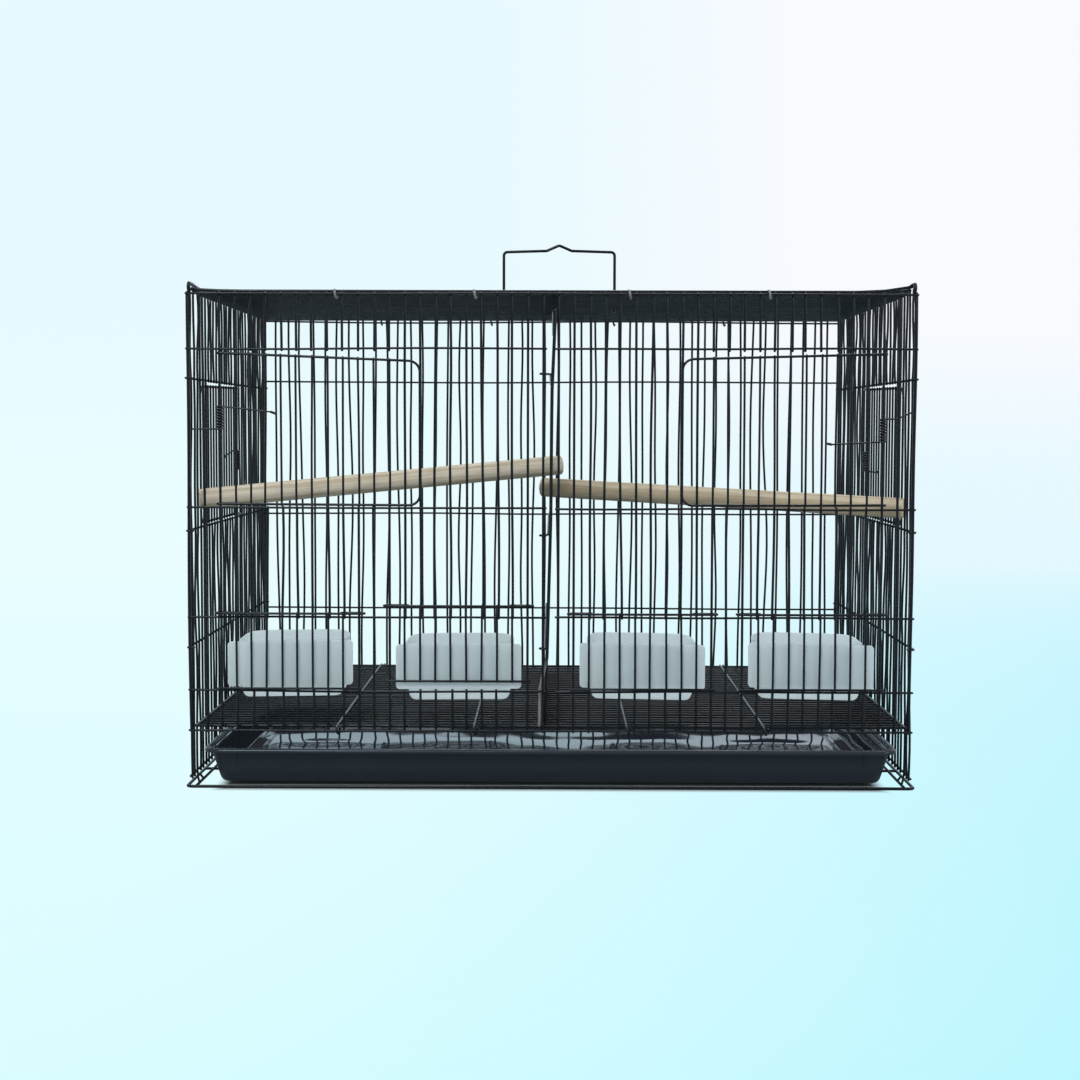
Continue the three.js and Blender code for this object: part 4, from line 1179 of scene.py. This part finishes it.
def cupPieces(x, lift, tilt):
    p, plate, neck = cup, cup["plate"], cup["neck"]
    y, height = grid["frontY"], p["top"] - p["bottom"]

    def ring(inset, level, rise=1):
        corner = max(p["corner"] - inset, p["leastCorner"])
        flat = roundedOutline(p["halfX"] - inset, p["halfY"] - inset, p["midY"], corner, p["points"])
        return np.column_stack([flat[:, 0] + x, flat[:, 1] + y, level + rise * rimRise(flat)])

    # upright outline round the plate's middle
    def sheet(halfX, inset, corner, points, depth):
        middle, halfHeight = (p["top"] + plate["bottom"]) / 2, (p["top"] - plate["bottom"]) / 2
        flat = roundedOutline(halfX, halfHeight - inset, middle, corner, points)
        return np.column_stack([flat[:, 0] + x, np.full(len(flat), y + depth), flat[:, 1]])

    rings = [ring(inset, p["bottom"] + share * height, max(share - 0.5, 0) * 2)
             for inset, share in p["outside"]]
    rings += [ring(inset, p["top"] + over) for inset, over in p["lip"]]
    for inset, share in p["outside"][::-1]:
        level = p["bottom"] + p["wall"] + share * (height - p["wall"] - p["insideTop"])
        rings.append(ring(inset + p["wall"], level, max(share - 0.5, 0) * 2))
    edge = [(inset, plate["front"] + depth) for inset, depth in plate["edge"]]
    edge += [(inset, plate["back"] - depth) for inset, depth in plate["edge"][::-1]]
    sheets = [sheet(plate["halfX"] - inset, inset, plate["corner"], plate["points"], depth)
              for inset, depth in edge]
    joins = [sheet(neck["half"], neck["inset"], neck["corner"], neck["points"], depth)
             for depth in (plate["back"] - neck["plate"], p["midY"] - p["halfY"] + p["wall"] * neck["wall"])]
    slope = np.tan(np.radians(tilt))
    return [(points + (lift - slope * (points[:, :1] - x)) * upward, faces)
            for points, faces in (stacked(rings), stacked(sheets), stacked(joins))]


for k, x in enumerate(hatchX):
    meshObject(f"seed_cup_shell_{k + 1}", cupPieces(x, cup["lift"][k], cup["tilt"][k]), cupPlastic,
               f"cup_{k + 1}", [f"seed_cup_{k + 1}"], sharp=40)
print("seed cups are in")


perch = {
    "radius": 8.6,
    "kerf": 1.55,  # half the width of the saw cut, and how far it goes past the wire
    "proud": 2.3, "poke": 9.0,  # the prongs run on past that at the outer and the inner end
    "sides": 36,
    # hand-turned: height, number and phase of the waves in its width
    "points": 24, "wander": [(0.006, 9.0, 0.0), (0.004, 23.0, 1.0)],
    # the cut ends are a little rounded over: distances from the tip, and widths there
    "start": 0.3, "tip": [(0.9, 1.0), (0.35, 0.975), (0.0, 0.92)],
    # x, wire and level of both ends, where the wood's rings lie, and its dark and light tones
    "left": {"outer": (-298.7, 4, 239.5), "inner": (0.35, 11, 266.5), "rings": 0.0,
             "tones": ((0.65, 0.57, 0.425, 1), (0.81, 0.745, 0.605, 1))},
    "right": {"outer": (298.7, 4, 233.0), "inner": (0.35, 13, 246.0), "rings": 0.013,
              "tones": ((0.57, 0.485, 0.335, 1), (0.72, 0.64, 0.485, 1))},
}


# Half of the dowel beside the cut: the circle's points with b >= kerf, closed by a chord
def prongProfile(side):
    p = perch
    limit = np.arcsin(p["kerf"] / p["radius"])
    turn = np.linspace(limit, np.pi - limit, 15)
    return np.stack([p["radius"] * np.cos(turn), side * p["radius"] * np.sin(turn)], axis=-1)


def perchPieces(place):
    p = perch
    outer, inner = [np.array([x, sideY(index), level])
                    for x, index, level in (place["outer"], place["inner"])]
    run = unit(outer - inner)
    start, end = inner + run * p["kerf"], outer - run * p["kerf"]
    share = np.linspace(0, 1, p["points"])
    width = 1 + sum(height * np.sin(share * waves + phase) for height, waves, phase in p["wander"])
    width[[0, -1]] = 1
    parts = [carried(start + share[:, None] * (end - start), circle(p["radius"], p["sides"]), upward, width)]
    for tip, direction, depth in ((start, -run, p["kerf"] + p["poke"]), (end, run, p["kerf"] + p["proud"])):
        path = [tip - direction * p["start"], *(tip + direction * (depth - short) for short, _ in p["tip"])]
        for side in (-1, 1):
            parts.append(carried(path, prongProfile(side), upward, [1, *(width for _, width in p["tip"])]))
    return parts, run


for name in ("left", "right"):
    parts, run = perchPieces(perch[name])
    wood = woodMaterial(f"{name}Wood", run, perch[name]["rings"], perch[name]["tones"])
    meshObject(f"{name}_perch_dowel", parts, wood, f"perch_{name}", [f"{name}_perch"], sharp=35)
print("perches are in")


stage = {
    "front": -3.2, "flat": (-1.0, 0.0, 1.0), "bend": 2.4, "radius": 1.6, "height": 3.4, "halfWidth": 5.0,
    # tones of the floor in front, of its far end and of the wall
    "near": (0.70, 0.98, 1.0, 1), "nearRight": (0.13, 0.83, 1.0, 1),
    "middle": (0.82, 0.98, 1.0, 1), "middleRight": (0.775, 0.945, 1.0, 1),
    "far": (0.805, 0.955, 1.0, 1), "farRight": (0.95, 0.96, 1.0, 1),
    "reflected": (0.84, 0.93, 1.0, 1),
    "shaded": {"Base Color": (0.36, 0.39, 0.4, 1), "Roughness": 0.8, "Specular IOR Level": 0.1},
    # where the tones change, from left to right, from the floor's near part to its far one, up
    # the wall, and, seen from behind the cage, on the floor's front edge
    "across": (-0.35, 1.0), "along": (-0.9, 2.4), "upwards": (0.0, 0.7), "edge": (-1.0, -2.4),
    "power": 0.5,  # the change along the floor comes early
    "dim": (-0.3, 1.2), "leastSeen": 0.12,  # reflections see the floor in front of the cage dim
    # how much of its own colour the camera sees under the cage and beyond it
    "cover": 0.006, "openShare": 0.995,
    "footprint": {"X": 0.27, "Y": 0.196}, "fade": 0.014,
}


# Floor that turns up into a backdrop: S(s, x) follows the floor, a quarter circle and a wall
def sweepObject():
    p = stage
    turn = np.linspace(0, np.pi / 2, 16)
    profile = np.vstack([
        [(y, 0.0) for y in (p["front"], *p["flat"])],
        np.stack([p["bend"] + p["radius"] * np.sin(turn), p["radius"] * (1 - np.cos(turn))], axis=-1),
        [(p["bend"] + p["radius"], p["height"])],
    ])
    x = np.linspace(-p["halfWidth"], p["halfWidth"], 9)
    y, across = np.meshgrid(profile[:, 0], x, indexing="ij")
    points = np.stack([across, y, np.repeat(profile[:, 1:], len(x), axis=1)], axis=-1).reshape(-1, 3)
    faces = sheetFaces(len(profile), len(x))[:, ::-1]
    obj = meshObject("pale_sweep", [(points / mm, [faces])], sweepMaterial())


# The floor shines in its own tones where the camera sees it, and takes the cage's shadow only
# under the cage
def sweepMaterial():
    material, shading, principled = newMaterial("paleSweep")
    place = shading.add("TexCoord", (-900, 0)).outputs["Object"]
    split = shading.add("SeparateXYZ", (-700, 0), {"Vector": place}).outputs
    across = shading.ranged((-700, -300), split["X"], stage["across"], kind="SMOOTHSTEP")
    along = shading.ranged((-600, 0), split["Y"], stage["along"])
    along = shading.maths((-400, 0), "POWER", along, stage["power"])
    up = shading.ranged((-600, 120), split["Z"], stage["upwards"], kind="SMOOTHSTEP")
    edge = shading.ranged((-600, 250), split["Y"], stage["edge"], kind="SMOOTHSTEP")
    near, middle, far = [shading.mixed((-500, -300 - 150 * k), across, stage[name], stage[f"{name}Right"])
                         for k, name in enumerate(("near", "middle", "far"))]
    tone = shading.mixed((-300, -100), along, near, middle)
    tone = shading.mixed((-200, 0), shading.maths((-400, 120), "MAXIMUM", up, edge), tone, far)
    rays = shading.add("LightPath", (-700, 400)).outputs
    # what is reflected is a little bluer
    tone = shading.mixed((-100, 0), rays["Is Glossy Ray"], tone, stage["reflected"], "MULTIPLY")
    glow = shading.add("Emission", (-100, -200), {"Color": tone, "Strength": 1.0}).outputs[0]
    behind = shading.ranged((-700, 650), split["Y"], stage["dim"], (stage["leastSeen"], 1.0))
    mirrored = shading.maths((-520, 550), "MULTIPLY", rays["Is Glossy Ray"], behind)
    seen = shading.maths((-450, 400), "MAXIMUM", rays["Is Camera Ray"], mirrored)
    seen = shading.maths((-280, 400), "MAXIMUM", seen, rays["Is Transmission Ray"])
    # distance outside the cage's footprint, which keeps its shadow
    gaps = []
    for k, (axis, half) in enumerate(stage["footprint"].items()):
        distance = shading.maths((-520, 800 + 150 * k), "ABSOLUTE", split[axis])
        gaps.append(shading.maths((-350, 800 + 150 * k), "SUBTRACT", distance, half))
    outside = shading.maths((-180, 850), "MAXIMUM", *gaps)
    clear = (stage["cover"], stage["openShare"])
    clear = shading.ranged((0, 850), outside, (0.0, stage["fade"]), clear, "SMOOTHSTEP")
    own = shading.maths((-110, 400), "MULTIPLY", seen, clear)
    shading.feed(principled, stage["shaded"])
    shading.show((200, 200), own, principled.outputs[0], glow)
    return material


sweepObject()

light = {
    "world": {"Color": (0.93, 0.97, 1.0, 1), "Strength": 0.5},
    "target": (0, 0, 0.2),
    "lamps": {
        "key": {"place": (-0.9, -2.0, 2.4), "size": 1.1, "watts": 46.0},
        "fill": {"place": (1.9, -1.3, 1.2), "size": 1.0, "watts": 12.0},
        "rim": {"place": (0.3, 1.7, 1.9), "size": 1.4, "watts": 22.0},
    },
}


# Turns the lamp's -Z axis to the target
def aim(obj, target):
    x, y, z = np.asarray(target, float) - np.array(obj.location)
    obj.rotation_euler = (np.arctan2(np.hypot(x, y), -z), 0, np.arctan2(-x, y))


for name, values in light["lamps"].items():
    lamp = bpy.data.lights.new(name, "AREA")
    lamp.energy, lamp.size = values["watts"], values["size"]
    lampObject = bpy.data.objects.new(name, lamp)
    lampObject.location = values["place"]
    bpy.context.scene.collection.objects.link(lampObject)
    aim(lampObject, light["target"])

# The camera sees the wall's tone beyond the backdrop, and the cage is lit by the world's
world = bpy.data.worlds.new("paleRoom")
bpy.context.scene.world = world
world.use_nodes = True
shading, background = Shading(world.node_tree), world.node_tree.nodes["Background"]
shading.feed(background, light["world"])
shown = shading.add("Background", (0, -200), {"Color": stage["far"], "Strength": 1.0})
rays = shading.add("LightPath", (-600, 300)).outputs
direct = shading.maths((-350, 300), "MAXIMUM", rays["Is Camera Ray"], rays["Is Transmission Ray"])
shading.show((200, 0), direct, background.outputs[0], shown.outputs[0])

view = {
    "place": (0.001, -1.6865, 0.301),
    "down": 3.565, "left": 0.38, "roll": 0.14,  # degrees
    "lens": 60.2, "sensor": 36,
}
camera = bpy.data.cameras.new("photoView")
camera.sensor_width, camera.lens = view["sensor"], view["lens"]
cameraObject = bpy.data.objects.new("photoView", camera)
cameraObject.location = view["place"]
tilt = mathutils.Euler((np.radians(90 - view["down"]), 0, np.radians(view["left"]))).to_matrix()
cameraObject.rotation_euler = (tilt @ mathutils.Matrix.Rotation(np.radians(view["roll"]), 3, "Z")).to_euler()
bpy.context.scene.collection.objects.link(cameraObject)
bpy.context.scene.camera = cameraObject
bpy.context.scene.view_settings.view_transform = "Standard"
print("stage, light and camera are in")
